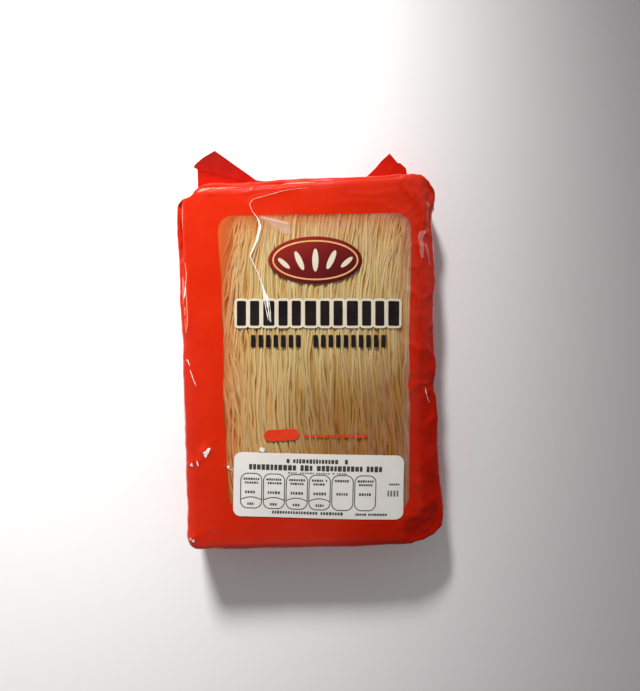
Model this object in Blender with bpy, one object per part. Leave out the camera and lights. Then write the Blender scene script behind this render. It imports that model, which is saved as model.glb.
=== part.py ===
"""Sealed film pack of dried rice vermicelli, lying on its back with the printed front up.

One solid for the filled bag (film and noodle block together, with the folded end
seals and the two film ears that stand out of the top end) and one for the paper
sticker on the front.  +X is to the right of the front, +Y towards the end with the
ears, +Z out of the front.  The origin is under the middle of the bounding box.
Sizes below are millimetres.
"""

import math

import bmesh
import bpy
import numpy as np

MM = 0.001

# ---- driving sizes ---------------------------------------------------------
WIDTH = 151.0        # across the front, side fold to side fold
LENGTH = 218.0       # end fold to end fold, without the ears
EDGE_THICK = 34.0    # thickness where the front starts to round over
CROWN = 4.0          # how far the middle of the front stands above that
EDGE_R = 11.0        # plan radius of every edge
EDGE_UP = 12.0       # height of the rounding at the front
EDGE_DOWN = 7.5      # height of the rounding at the back
BELLY = 1.6          # how far the side walls swell at half height
ROLL = 3.0           # the right-hand edge is slacker and drops by this much

SEAM_Z = 17.0        # height of the end seals
ROOF = 3.2           # the end walls are pitched, with their ridge on the seal
FIN = 11.0           # width of the crimped end seal
FIN_THICK = 1.1
SEAL_REACH = 55.0    # half length of the flattened part of each end seal

FLAP_ROOT = 3.2      # an ear's thickness where it leaves the end wall
FLAP_TIP = 1.0       # and at its point

LABEL_W, LABEL_H = 100.0, 38.0
LABEL_X, LABEL_Y = 2.7, -72.5
LABEL_TURN = math.radians(-3.1)
LABEL_R = 4.5
LABEL_THICK = 0.35
GAP = 0.3

# middle of the bounding box in the body's own coordinates
ORIGIN_X, ORIGIN_Y = 0.73, 8.95

HX, HY = WIDTH / 2, LENGTH / 2

# Slack film: (where along the edge, how far out, how long), in millimetres
RIGHT_EDGE = [(99, 2.2, 9), (52, 0.8, 22), (14, -1.0, 22), (-16, -2.2, 6), (-92, 1.6, 13)]
LEFT_EDGE = [(82, 1.0, 15), (40, 0.5, 16), (12, -0.6, 10)]
TOP_END = [(-74, -8.0, 12), (-40, -1.4, 18), (66, 1.6, 16)]
BOTTOM_END = [(72, -1.8, 10), (20, 0.5, 30)]
# Corners drawn square by the folded film: (side, end, how far out each way, reach)
CORNERS = [(-1, 1, 2.6, 9), (-1, -1, 2.4, 8), (1, 1, 1.2, 9), (1, -1, 0.5, 8)]


def smooth(a, b, t):
    u = np.clip((t - a) / (b - a), 0.0, 1.0)
    return u * u * (3.0 - 2.0 * u)


def bumps(table, t):
    return sum(out * np.exp(-(((t - at) / reach) ** 2)) for at, out, reach in table)


def bag(block):
    """Carries points on the surface of the plain block WIDTH x LENGTH x EDGE_THICK to the bag's surface."""
    p = np.asarray(block, float).reshape(-1, 3)
    low = np.array([EDGE_R - HX, EDGE_R - HY, EDGE_DOWN])
    high = np.array([HX - EDGE_R, HY - EDGE_R, EDGE_THICK - EDGE_UP])
    core = np.clip(p, low, high)
    away = p - core
    height = np.where(away[:, 2] > 0, EDGE_UP, EDGE_DOWN)
    away[:, 2] *= EDGE_R / height
    away /= np.linalg.norm(away, axis=1)[:, None]
    x = core[:, 0] + EDGE_R * away[:, 0]
    y = core[:, 1] + EDGE_R * away[:, 1]
    z = core[:, 2] + height * away[:, 2]

    u, v, h = x / HX, y / HY, z / EDGE_THICK
    front = smooth(0.3, 1.0, h)
    swell = 1.0 - (2.0 * h - 1.0) ** 2

    # plan corners
    out_x, out_y = np.zeros_like(x), np.zeros_like(y)
    for side, end, out, reach in CORNERS:
        near = np.exp(-((x - side * HX) ** 2 + (y - end * HY) ** 2) / reach**2) * smooth(0.0, 0.3, h)
        out_x += side * out * near
        out_y += end * out * near
    x, y = x + out_x, y + out_y

    # side walls: swollen by the noodles, slack in places
    x = x + np.sign(u) * BELLY * swell * smooth(0.6, 1.0, np.abs(u))
    x = x + bumps(RIGHT_EDGE, y) * smooth(0.55, 1.0, u)
    x = x - bumps(LEFT_EDGE, y) * smooth(0.55, 1.0, -u)

    # end walls: pitched like a low roof up to the seal, slack in places
    y = y + bumps(TOP_END, x) * smooth(0.72, 1.0, v)
    y = y - bumps(BOTTOM_END, x) * smooth(0.72, 1.0, -v)
    pitch = np.clip(1.0 - np.abs(z - SEAM_Z) / (0.5 * EDGE_THICK), 0.0, 1.0)
    inside = 1.0 - smooth(0.70, 0.97, np.abs(u))
    y = y + np.sign(v) * ROOF * pitch * inside * smooth(0.9, 1.0, np.abs(v))

    # front: crowned over the noodle block, with the slack right-hand edge lower
    z = z + CROWN * (1 - np.abs(u) ** 3) * (1 - np.abs(v) ** 4) * front
    z = z - ROLL * smooth(0.62, 1.0, u) * front
    z = z + 0.35 * np.sin(x / 13.0 + y / 37.0) * np.cos(y / 29.0 - 0.4) * front * inside
    return np.stack([x, y, z], axis=1)


def normals(points_of, a, b, step=0.5):
    """Outward unit normals of a patch points_of(a, b) of the bag."""
    da = points_of(a + step, b) - points_of(a - step, b)
    db = points_of(a, b + step) - points_of(a, b - step)
    n = np.cross(da, db)
    return n / np.linalg.norm(n, axis=1)[:, None]


# ---- mesh helpers ----------------------------------------------------------
def spaced(half, radius, cells, arc=4):
    """Grid lines along one side of the block, closer together over its rounded edges."""
    edge = [radius * math.tan(math.radians(45.0 * k / arc)) for k in range(arc, 0, -1)]
    inner = list(np.linspace(radius - half, half - radius, cells + 1))
    return [radius - half - e for e in edge] + inner + [half - radius + e for e in reversed(edge)]


def levels(arc=4, cells=3):
    up = [math.tan(math.radians(45.0 * k / arc)) for k in range(arc, 0, -1)]
    wall = list(np.linspace(EDGE_DOWN, EDGE_THICK - EDGE_UP, cells + 1))
    wall[int(np.argmin([abs(w - SEAM_Z) for w in wall]))] = SEAM_Z
    return [EDGE_DOWN * (1 - e) for e in up] + wall + [EDGE_THICK - EDGE_UP * (1 - e) for e in reversed(up)]


def block_grid(bm, xs, ys, zs):
    """The block's six faces as one closed grid of quads."""
    found = {}

    def vert(i, j, k):
        if (i, j, k) not in found:
            found[i, j, k] = bm.verts.new((xs[i], ys[j], zs[k]))
        return found[i, j, k]

    nx, ny, nz = len(xs) - 1, len(ys) - 1, len(zs) - 1
    for i in range(nx):
        for j in range(ny):
            bm.faces.new([vert(i, j, nz), vert(i + 1, j, nz), vert(i + 1, j + 1, nz), vert(i, j + 1, nz)])
            bm.faces.new([vert(i, j + 1, 0), vert(i + 1, j + 1, 0), vert(i + 1, j, 0), vert(i, j, 0)])
    for k in range(nz):
        for i in range(nx):
            bm.faces.new([vert(i, 0, k), vert(i + 1, 0, k), vert(i + 1, 0, k + 1), vert(i, 0, k + 1)])
            bm.faces.new([vert(i, ny, k + 1), vert(i + 1, ny, k + 1), vert(i + 1, ny, k), vert(i, ny, k)])
        for j in range(ny):
            bm.faces.new([vert(0, j, k + 1), vert(0, j + 1, k + 1), vert(0, j + 1, k), vert(0, j, k)])
            bm.faces.new([vert(nx, j, k), vert(nx, j + 1, k), vert(nx, j + 1, k + 1), vert(nx, j, k + 1)])


def place(bm):
    """From the body's own millimetres to metres about the origin."""
    for v in bm.verts:
        v.co = ((v.co.x - ORIGIN_X) * MM, (v.co.y - ORIGIN_Y) * MM, v.co.z * MM)


def finished(name, bm, material, sharp=35.0):
    place(bm)
    bmesh.ops.recalc_face_normals(bm, faces=bm.faces)
    mesh = bpy.data.meshes.new(name)
    bm.to_mesh(mesh)
    bm.free()
    mesh.shade_smooth()
    mesh.set_sharp_from_angle(angle=math.radians(sharp))
    mesh.materials.append(material)
    obj = bpy.data.objects.new(name, mesh)
    bpy.context.scene.collection.objects.link(obj)
    return obj


def sheet(bm, lower, upper, columns, rows):
    """A closed sheet between two grids of points, each (columns + 1) * (rows + 1) long."""
    def verts(points):
        return [bm.verts.new(p) for p in points]

    low, high = verts(lower), verts(upper)

    def at(i, j):
        return j * (columns + 1) + i

    for j in range(rows):
        for i in range(columns):
            ring = [at(i, j), at(i + 1, j), at(i + 1, j + 1), at(i, j + 1)]
            bm.faces.new([high[r] for r in ring])
            bm.faces.new([low[r] for r in reversed(ring)])
    rim = [at(i, 0) for i in range(columns)] + [at(columns, j) for j in range(rows)]
    rim += [at(i, rows) for i in range(columns, 0, -1)] + [at(0, j) for j in range(rows, 0, -1)]
    for a, b in zip(rim, rim[1:] + rim[:1]):
        bm.faces.new([low[a], low[b], high[b], high[a]])


def material(name, colour, roughness):
    mat = bpy.data.materials.new(name)
    mat.use_nodes = True
    shader = mat.node_tree.nodes["Principled BSDF"]
    shader.inputs["Base Color"].default_value = (*colour, 1.0)
    shader.inputs["Roughness"].default_value = roughness
    shader.inputs["Metallic"].default_value = 0.0
    return mat


# ---- the filled bag --------------------------------------------------------
def make_body(film):
    bm = bmesh.new()
    block_grid(
        bm,
        spaced(HX, EDGE_R, 16),
        spaced(HY, EDGE_R, 24),
        levels(),
    )
    moved = bag([v.co[:] for v in bm.verts])
    for v, p in zip(bm.verts, moved):
        v.co = p
    # the back lies flat: one face in place of its grid
    flat = [f for f in bm.faces if all(abs(v.co.z) < 1e-6 for v in f.verts)]
    bmesh.ops.dissolve_faces(bm, faces=flat, use_verts=True)
    return finished("pack", bm, film)


def make_fin(name, end, film):
    """The crimped seal of one end, folded down over the lower half of the end wall."""
    columns, rows = 20, 4

    def wall(a, b):
        return bag(np.stack([a, np.full_like(a, end * HY), b], axis=1))

    a, b = np.meshgrid(
        np.linspace(-SEAL_REACH, SEAL_REACH, columns + 1),
        np.linspace(SEAM_Z - FIN, SEAM_Z, rows + 1),
    )
    a, b = a.ravel(), b.ravel()
    on = wall(a, b)
    out = normals(wall, a, b) * (1 if end < 0 else -1)
    bm = bmesh.new()
    sheet(bm, on - out * 1.5, on + out * FIN_THICK, columns, rows)
    return finished(name, bm, film)


def make_ear(name, corners, tip, lift, film):
    """A folded corner of the end seal: a flat flap through the plan corners, thinning from its root to its tip."""
    root_y = min(y for _, y in corners)
    reach = tip[1] - root_y

    def middle(x, y):
        return SEAM_Z + 1.0 + lift * (y - root_y) / reach + 0.04 * (x - tip[0])

    def half(y):
        return 0.5 * (FLAP_ROOT + (FLAP_TIP - FLAP_ROOT) * min(1.0, (y - root_y) / reach))

    bm = bmesh.new()
    low = [bm.verts.new((x, y, middle(x, y) - half(y))) for x, y in corners]
    high = [bm.verts.new((x, y, middle(x, y) + half(y))) for x, y in corners]
    bm.faces.new(high)
    bm.faces.new(list(reversed(low)))
    for i in range(len(corners)):
        j = (i + 1) % len(corners)
        bm.faces.new([low[i], low[j], high[j], high[i]])
    bmesh.ops.triangulate(bm, faces=[f for f in bm.faces if len(f.verts) > 4])
    return finished(name, bm, film)


def join(target, *others):
    """Boolean unions, applied, so that the film is one piece."""
    for other in others:
        union = target.modifiers.new("join " + other.name, "BOOLEAN")
        union.operation = "UNION"
        union.solver = "EXACT"
        union.object = other
    bpy.context.view_layer.update()
    graph = bpy.context.evaluated_depsgraph_get()
    joined = bpy.data.meshes.new_from_object(target.evaluated_get(graph))
    target.modifiers.clear()
    old, target.data = target.data, joined
    joined.name = target.name
    bpy.data.meshes.remove(old)
    for other in others:
        bpy.data.objects.remove(other)
    return target


# ---- the sticker -----------------------------------------------------------
def label_plan(columns, rows):
    """Grid over a rectangle whose corners are rounded by drawing its outer lines in."""
    points = []
    for j in range(rows + 1):
        for i in range(columns + 1):
            a = (i / columns - 0.5) * LABEL_W
            b = (j / rows - 0.5) * LABEL_H
            over_x = max(0.0, abs(a) - (LABEL_W / 2 - LABEL_R))
            over_y = max(0.0, abs(b) - (LABEL_H / 2 - LABEL_R))
            if over_x and over_y:
                longest, length = max(over_x, over_y), math.hypot(over_x, over_y)
                a -= math.copysign(over_x * (1 - longest / length), a)
                b -= math.copysign(over_y * (1 - longest / length), b)
            points.append((a, b))
    a, b = np.array(points).T
    c, s = math.cos(LABEL_TURN), math.sin(LABEL_TURN)
    return LABEL_X + a * c - b * s, LABEL_Y + a * s + b * c


def make_label(paper):
    columns, rows = 22, 10

    def top(a, b):
        return bag(np.stack([a, b, np.full_like(a, EDGE_THICK)], axis=1))

    a, b = label_plan(columns, rows)
    on, out = top(a, b), normals(top, a, b)
    bm = bmesh.new()
    sheet(bm, on + out * GAP, on + out * (GAP + LABEL_THICK), columns, rows)
    return finished("label", bm, paper)


def main():
    for obj in list(bpy.data.objects):
        bpy.data.objects.remove(obj)
    film = material("film", (0.80, 0.045, 0.012), 0.28)
    paper = material("paper", (0.84, 0.81, 0.77), 0.6)
    body = make_body(film)
    left = [(-67.5, 100.0), (-66.6, 121.5), (-69.6, 123.4), (-54.7, 131.7), (-30.0, 113.0), (-22.0, 109.5), (-22.0, 100.0)]
    right = [(35.0, 100.0), (36.0, 112.4), (46.8, 122.0), (52.2, 126.9), (57.2, 121.0), (60.6, 119.6), (62.6, 115.0), (62.0, 100.0)]
    join(
        body,
        make_fin("top_fin", 1, film),
        make_fin("bottom_fin", -1, film),
        make_ear("left_ear", left, (-54.7, 131.7), 6.0, film),
        make_ear("right_ear", right, (52.2, 126.9), 4.0, film),
    )
    make_label(paper)


main()
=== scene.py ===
"""Looks of the sealed pack of rice vermicelli: printed film, clear window, separate noodle
strands, folded ends with their ears, plain generic print and a paper sticker.

Lengths are in millimetres in the body's own axes until an object is made, and then in
metres about the frame's origin.
"""

import math

import bpy
import numpy as np
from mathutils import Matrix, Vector


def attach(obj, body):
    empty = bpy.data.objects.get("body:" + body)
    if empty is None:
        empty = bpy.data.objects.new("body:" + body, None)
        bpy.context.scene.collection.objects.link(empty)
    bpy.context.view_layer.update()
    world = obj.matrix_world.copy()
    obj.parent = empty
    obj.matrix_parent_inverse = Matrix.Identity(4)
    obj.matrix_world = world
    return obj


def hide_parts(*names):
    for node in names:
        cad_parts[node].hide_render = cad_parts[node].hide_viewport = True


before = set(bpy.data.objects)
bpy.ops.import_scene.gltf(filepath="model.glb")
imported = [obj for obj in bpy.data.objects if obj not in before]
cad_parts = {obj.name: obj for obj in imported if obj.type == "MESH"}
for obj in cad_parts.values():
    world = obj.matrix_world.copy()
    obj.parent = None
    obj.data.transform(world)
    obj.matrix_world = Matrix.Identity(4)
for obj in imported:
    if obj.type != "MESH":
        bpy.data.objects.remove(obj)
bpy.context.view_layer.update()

MM = 0.001
ORIGIN = np.array([0.73, 8.95, 0.0])

# ---- the filled bag, as the solid has it -------------------------------------
WIDTH, LENGTH, EDGE_THICK = 151.0, 218.0, 34.0
CROWN, EDGE_R, EDGE_UP, EDGE_DOWN = 4.0, 11.0, 12.0, 7.5
BELLY, ROLL = 1.6, 3.0
SQUARE = 7.0
SEAM_Z, ROOF, FIN, SEAL_REACH = 17.0, 3.2, 11.0, 55.0
HX, HY = WIDTH / 2, LENGTH / 2
RIGHT_EDGE = [(99, 2.2, 9), (52, 0.8, 22), (14, -1.0, 22), (-16, -2.2, 6), (-92, 1.6, 13)]
LEFT_EDGE = [(82, 1.0, 15), (40, 0.5, 16), (12, -0.6, 10)]
TOP_END = [(-74, -3.5, 10), (-40, -1.4, 18), (66, 1.6, 16)]
BOTTOM_END = [(72, -1.8, 10), (20, 0.5, 30)]
CORNERS = [(-1, 1, 1.8, 9), (-1, -1, 2.4, 8), (1, 1, 4.0, 7.5), (1, -1, 0.5, 8)]
# Where a corner is folded off straight; the pack lies on the right-hand side of each line.
CUTS = [((-76.0, 95.6), (-73.0, 99.3)), ((-73.0, 99.3), (-64.4, 105.2)), ((71.6, 109.3), (78.3, 100.2))]
DENT = (-68.2, 101.6, 4.0, 1.1, -1.4)
LABEL_W, LABEL_H = 100.0, 38.0
LABEL_X, LABEL_Y = 2.7, -72.5
LABEL_TURN = math.radians(-3.1)
LABEL_R = 4.5


def smooth(a, b, t):
    u = np.clip((t - a) / (b - a), 0.0, 1.0)
    return u * u * (3.0 - 2.0 * u)


def bumps(table, t):
    return sum(out * np.exp(-(((t - at) / reach) ** 2)) for at, out, reach in table)


def bag(block):
    p = np.asarray(block, float).reshape(-1, 3)
    low = np.array([EDGE_R - HX, EDGE_R - HY, EDGE_DOWN])
    high = np.array([HX - EDGE_R, HY - EDGE_R, EDGE_THICK - EDGE_UP])
    core = np.clip(p, low, high)
    away = p - core
    height = np.where(away[:, 2] > 0, EDGE_UP, EDGE_DOWN)
    away[:, 2] *= EDGE_R / height
    # the upper edge is squarer than a plain round, as tight film makes it
    flat_way = np.hypot(away[:, 0], away[:, 1])
    power = np.where(away[:, 2] > 0, SQUARE - 3.4 * smooth(0.75, 0.95, p[:, 0] / HX), 2.0)
    size = (flat_way**power + np.abs(away[:, 2]) ** power) ** (1.0 / power)
    away /= np.maximum(size, 1e-9)[:, None]
    x = core[:, 0] + EDGE_R * away[:, 0]
    y = core[:, 1] + EDGE_R * away[:, 1]
    z = core[:, 2] + height * away[:, 2]
    u, v, h = x / HX, y / HY, z / EDGE_THICK
    front = smooth(0.3, 1.0, h)
    swell = 1.0 - (2.0 * h - 1.0) ** 2
    out_x, out_y = np.zeros_like(x), np.zeros_like(y)
    for side, end, out, reach in CORNERS:
        near = np.exp(-((x - side * HX) ** 2 + (y - end * HY) ** 2) / reach**2) * smooth(0.0, 0.3, h)
        out_x += side * out * near
        out_y += end * out * near
    x, y = x + out_x, y + out_y
    x = x + np.sign(u) * BELLY * swell * smooth(0.6, 1.0, np.abs(u))
    x = x + bumps(RIGHT_EDGE, y) * smooth(0.55, 1.0, u)
    x = x - bumps(LEFT_EDGE, y) * smooth(0.55, 1.0, -u)
    y = y + bumps(TOP_END, x) * smooth(0.72, 1.0, v)
    y = y - bumps(BOTTOM_END, x) * smooth(0.72, 1.0, -v)
    pitch = np.clip(1.0 - np.abs(z - SEAM_Z) / (0.5 * EDGE_THICK), 0.0, 1.0)
    inside = 1.0 - smooth(0.70, 0.97, np.abs(u))
    y = y + np.sign(v) * ROOF * pitch * inside * smooth(0.9, 1.0, np.abs(v))
    for (ax, ay), (bx, by) in CUTS:
        run = math.hypot(bx - ax, by - ay)
        nx, ny = -(by - ay) / run, (bx - ax) / run
        over = 0.3 * np.logaddexp(0.0, ((x - ax) * nx + (y - ay) * ny) / 0.3)
        x, y = x - nx * over, y - ny * over
    dent = np.exp(-(((x - DENT[0]) ** 2 + (y - DENT[1]) ** 2) / DENT[2] ** 2)) * smooth(0.0, 0.3, h)
    x, y = x + DENT[3] * dent, y + DENT[4] * dent
    z = z + CROWN * (1 - np.abs(u) ** 3) * (1 - np.abs(v) ** 3) * front
    z = z - ROLL * smooth(0.62, 1.0, u) * front
    z = z + 0.35 * np.sin(x / 13.0 + y / 37.0) * np.cos(y / 29.0 - 0.4) * front * inside
    return np.stack([x, y, z], axis=1)


# ---- noise -------------------------------------------------------------------
_table = np.random.default_rng(7).normal(size=(256, 3))
_table /= np.linalg.norm(_table, axis=1)[:, None]


def noise3(p, scale, seed):
    """Gradient noise, about -1 to 1, at the points p (N, 3)."""
    q = np.asarray(p, float) / np.asarray(scale, float) + 11.3 * seed
    i = np.floor(q).astype(np.int64)
    f = q - i
    u = f * f * f * (f * (f * 6 - 15) + 10)
    total = np.zeros(len(q))
    for dx in (0, 1):
        for dy in (0, 1):
            for dz in (0, 1):
                key = (i[:, 0] + dx) * 73856093 ^ (i[:, 1] + dy) * 19349663 ^ (i[:, 2] + dz) * 83492791 ^ seed * 2654435
                key = (key ^ (key >> 13)) * 1274126177
                g = _table[(key ^ (key >> 16)) & 255]
                w = (u[:, 0] if dx else 1 - u[:, 0]) * (u[:, 1] if dy else 1 - u[:, 1]) * (u[:, 2] if dz else 1 - u[:, 2])
                total += w * (g[:, 0] * (f[:, 0] - dx) + g[:, 1] * (f[:, 1] - dy) + g[:, 2] * (f[:, 2] - dz))
    return total * 1.7


def ridged(p, scale, seed):
    """Sharp crests along the zero lines of a warped noise, 0 to 1."""
    warp = np.stack([noise3(p, 13.0, seed + k) for k in (31, 32, 33)], axis=1)
    return np.clip(1.0 - 2.6 * np.abs(noise3(p + 3.5 * warp, scale, seed)), 0.0, 1.0)


# ---- creases of the film -----------------------------------------------------
def along(points, xy):
    """Distance to a polyline, the side it is on and the share of the line's length."""
    points = np.asarray(points, float)
    lengths = np.linalg.norm(np.diff(points, axis=0), axis=1)
    starts = np.concatenate([[0], np.cumsum(lengths)])
    best = np.full(len(xy), 1e9)
    side, share = np.zeros(len(xy)), np.zeros(len(xy))
    for a, b, run, start in zip(points, points[1:], lengths, starts):
        d = (b - a) / run
        rel = xy - a
        t = np.clip(rel @ d, 0, run)
        off = rel - t[:, None] * d
        dist = np.linalg.norm(off, axis=1)
        near = dist < best
        best = np.where(near, dist, best)
        side = np.where(near, np.sign(d[0] * rel[:, 1] - d[1] * rel[:, 0]), side)
        share = np.where(near, (start + t) / starts[-1], share)
    return best, side, share


ZIGZAG = [(2, 103.6), (-10.3, 102.6), (-20.3, 100.6), (-30.4, 98.4), (-32.9, 95.6), (-31.3, 90.8), (-28.0, 85.9),
          (-26.8, 81.1), (-28.8, 73.0), (-33.3, 63.8), (-28.5, 52.6), (-25.6, 43.6), (-24.0, 37.7), (-22.7, 25.3)]
# Folds that stand proud: (line, height, reach)
CREASES = [
    (ZIGZAG, 0.28, 2.6),
    ([(-26.8, 86.0), (-20.8, 85.0), (-15.0, 83.1), (-6.0, 82.0), (0.5, 81.0)], 0.30, 3.0),
    ([(-71.2, 60.5), (-70.3, 53.8), (-71.2, 42.0), (-70.6, 30.3), (-72.5, 18.0)], 0.30, 1.3),
    ([(-74.4, 5.0), (-72.1, 0.4), (-71.0, -2.6), (-66.8, -13.6)], 0.25, 1.6),
    ([(-73.0, -57.0), (-66.0, -54.5), (-61.0, -46.0), (-55.0, -42.0)], 0.35, 3.0),
    ([(-75.0, -102.5), (-66.0, -98.0), (-54.0, -95.0)], 0.40, 2.5),
    ([(62.0, 103.0), (66.0, 98.0), (68.5, 90.0), (69.5, 80.0), (66.8, 70.5), (67.8, 58.0)], 0.75, 2.2),
    ([(74.0, 92.0), (69.5, 80.0)], 0.5, 2.0),
    ([(75.5, 78.5), (70.5, 74.5), (72.5, 60.0), (73.8, 36.0)], 0.6, 1.6),
    ([(76.0, -12.5), (70.0, -14.5), (60.0, -14.0)], 0.65, 2.4),
    ([(76.5, -19.0), (70.5, -20.0), (64.0, -24.0)], 0.45, 2.2),
    ([(78.0, -90.0), (68.0, -83.0), (60.0, -70.0)], 0.5, 2.4),
    ([(76.0, -98.0), (64.0, -93.0), (50.0, -92.0)], 0.45, 2.6),
    ([(79.0, -78.0), (70.0, -66.0), (65.0, -50.0)], 0.4, 2.2),
    ([(72.0, -104.0), (60.0, -99.0), (44.0, -99.5)], 0.4, 2.4),
    ([(66.0, 40.0), (64.5, 20.0), (66.5, -2.0)], 0.35, 2.4),
    ([(70.0, 30.0), (69.0, 10.0), (71.0, -8.0)], 0.4, 2.0),
    ([(58.0, 101.0), (40.0, 98.0), (24.0, 99.5)], 0.22, 3.0),
    ([(50.0, 93.0), (30.0, 94.5), (8.0, 92.5)], 0.16, 3.0),
    ([(-40.0, 101.5), (-22.0, 103.5), (0.0, 104.0)], 0.3, 2.0),
]
# Small faceted puckers: (x, y, reach, height, turn, sides)
PUCKERS = [
    (-63.2, -50.2, 4.2, 0.75, 0.9, 4), (-72.0, -57.4, 3.0, 0.6, 0.3, 3), (-67.6, -56.5, 2.4, 0.4, 1.6, 3),
    (-50.0, -59.0, 2.6, 0.45, 0.2, 3), (-27.3, -48.2, 2.6, 0.4, 0.5, 3), (-72.2, -102.0, 3.2, 0.6, 0.7, 4),
    (72.4, 91.5, 3.4, 0.7, 1.1, 3), (49.7, 89.9, 2.2, 0.25, 0.4, 4), (-46.0, 103.0, 2.4, 0.3, 0.1, 4),
    (-56.0, 102.0, 2.2, 0.3, 0.8, 3), (62.0, -88.5, 4.5, 0.5, 0.6, 4), (70.0, -40.0, 5.0, 0.4, 0.2, 4),
    (66.0, 6.0, 6.0, 0.4, 0.9, 4), (68.5, 44.0, 5.0, 0.45, 0.5, 3),
]


# Where the film bends down beyond a line: (line from, to, fall per millimetre, fade at the ends)
FACETS = [
    ((-66.0, 103.6), (-10.0, 105.2), 0.60, 8.0),
    ((-20.0, 105.6), (66.0, 107.6), 0.40, 12.0),
    ((-72.4, 62.0), (-72.0, 103.0), 0.75, 6.0),
    ((-73.4, 28.0), (-72.4, 62.0), 0.35, 8.0),
    ((68.2, 110.0), (72.8, 80.0), 0.42, 7.0),
    ((66.1, 86.0), (61.6, -62.0), 0.10, 22.0),
    ((60.0, -70.0), (66.5, -112.0), 0.16, 12.0),
    ((76.0, -82.0), (48.0, -99.0), 0.22, 8.0),
    ((76.0, -15.6), (59.0, -16.2), 0.07, 6.0),
]


def on_label(xy):
    c, s = math.cos(-LABEL_TURN), math.sin(-LABEL_TURN)
    dx, dy = xy[:, 0] - LABEL_X, xy[:, 1] - LABEL_Y
    return np.stack([dx * c - dy * s, dx * s + dy * c], axis=1)


def rounded(q, half_w, half_h, radius):
    """Signed distance to a rounded rectangle about the origin."""
    a = np.abs(q[:, 0]) - (half_w - radius)
    b = np.abs(q[:, 1]) - (half_h - radius)
    return np.hypot(np.maximum(a, 0), np.maximum(b, 0)) + np.minimum(np.maximum(a, b), 0) - radius


def relief(p, n):
    """How far the film stands out from the smooth bag, in millimetres."""
    x, y, z = p.T
    front = smooth(0.45, 0.9, n[:, 2])
    wall = 1.0 - front
    grounded = smooth(0.2, 4.5, z)
    edge = np.minimum(HX - np.abs(x), HY - np.abs(y))
    near_edge = 1.0 - smooth(1.0, 13.0, edge)
    right = smooth(46.0, 62.0, x)
    corner = smooth(0.62, 1.0, np.abs(x) / HX) * smooth(0.72, 1.0, np.abs(y) / HY)
    label = 1.0 - smooth(-1.0, 5.0, rounded(on_label(p[:, :2]), LABEL_W / 2, LABEL_H / 2, LABEL_R))

    soft = 0.30 * noise3(p, (24.0, 46.0, 24.0), 1) + 0.12 * noise3(p, (9.0, 21.0, 9.0), 2)
    crumple = ridged(p, (15.0, 19.0, 15.0), 3) ** 1.6
    fine = ridged(p, (7.0, 9.0, 7.0), 5) ** 1.5
    strength = front * (0.03 + 0.07 * near_edge + 0.46 * right + 0.12 * corner) + wall * (0.22 + 0.3 * smooth(40, 70, x))
    out = soft * (0.35 + 0.65 * right) + crumple * strength + fine * strength * 0.35

    # long folds that run down the left and right walls, and short ones out of the corners
    side_wall = wall * smooth(0.5, 0.9, np.abs(n[:, 0]))
    out += side_wall * 0.35 * ridged(p, (9.0, 44.0, 8.0), 8)
    radial = np.arctan2(np.abs(y) - HY + 30, np.abs(x) - HX + 26)
    out += corner * (0.04 + 0.10 * wall + 0.16 * right) * (0.5 + 0.5 * np.sin(radial * 30 + 3 * noise3(p, 12.0, 9)))

    # end walls folded like a parcel's: a step along each slanting fold line
    end_wall = wall * smooth(0.5, 0.9, np.abs(n[:, 1]))
    slant = (HX - np.abs(x)) - 1.15 * np.abs(z - SEAM_Z) - 3.0
    out += end_wall * 0.55 * smooth(-0.5, 0.5, slant)
    out += end_wall * 0.4 * np.exp(-np.abs(z - SEAM_Z) / 1.2)

    # gathered film along the top edge beside the left ear
    gather = smooth(98.5, 103.0, y) * (1 - smooth(-14.0, 2.0, x))
    out += gather * (0.10 * noise3(p, (4.2, 2.8, 3.4), 40) + 0.05 * noise3(p, (2.4, 4.0, 2.0), 42))

    xy = p[:, :2]
    for points, height, reach in CREASES:
        d, side, share = along(points, xy)
        ends = smooth(0.0, 0.12, share) * (1 - smooth(0.86, 1.0, share))
        fold = np.exp(-(np.hypot(d, 0.25) - 0.25) / (reach * np.where(side > 0, 1.0, 0.6)))
        out += front * height * fold * ends
    for start, end, fall, fade in FACETS:
        start, end = np.array(start), np.array(end)
        run = np.linalg.norm(end - start)
        d = (end - start) / run
        rel = xy - start
        share = rel @ d
        beyond = np.maximum(rel @ np.array([-d[1], d[0]]), 0)
        out -= front * fall * np.minimum(beyond, 9.0) * (1 - smooth(12, 30, beyond)) * smooth(-fade * 0.3, fade * 0.7, share) * (1 - smooth(run - fade * 0.7, run + fade * 0.3, share))
    for px, py, reach, height, turn, sides in PUCKERS:
        dx, dy = x - px, y - py
        far = np.max([dx * math.cos(turn + 2 * math.pi * k / sides) + dy * math.sin(turn + 2 * math.pi * k / sides) for k in range(sides)], axis=0)
        out += front * height * np.clip(1 - far / reach, 0, 1)
    return out * grounded * (1 - 0.82 * label * front)


FACES = {
    "top": (lambda a, b: np.stack([a, b, np.full_like(a, EDGE_THICK)], 1), 1),
    "bottom": (lambda a, b: np.stack([a, b, np.zeros_like(a)], 1), -1),
    "+x": (lambda a, b: np.stack([np.full_like(a, HX), a, b], 1), 1),
    "-x": (lambda a, b: np.stack([np.full_like(a, -HX), a, b], 1), -1),
    "+y": (lambda a, b: np.stack([a, np.full_like(a, HY), b], 1), -1),
    "-y": (lambda a, b: np.stack([a, np.full_like(a, -HY), b], 1), 1),
}


def film(face, a, b, lift=0.0):
    """Points on the creased film at lift above it, with its smooth normals."""
    block, sign = FACES[face]
    a, b = np.asarray(a, float), np.asarray(b, float)
    step = 0.4
    base = bag(block(a, b))
    da = bag(block(a + step, b)) - bag(block(a - step, b))
    db = bag(block(a, b + step)) - bag(block(a, b - step))
    n = np.cross(da, db) * sign
    n /= np.linalg.norm(n, axis=1)[:, None]
    return base + n * (relief(base, n) + lift)[:, None], n


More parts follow.
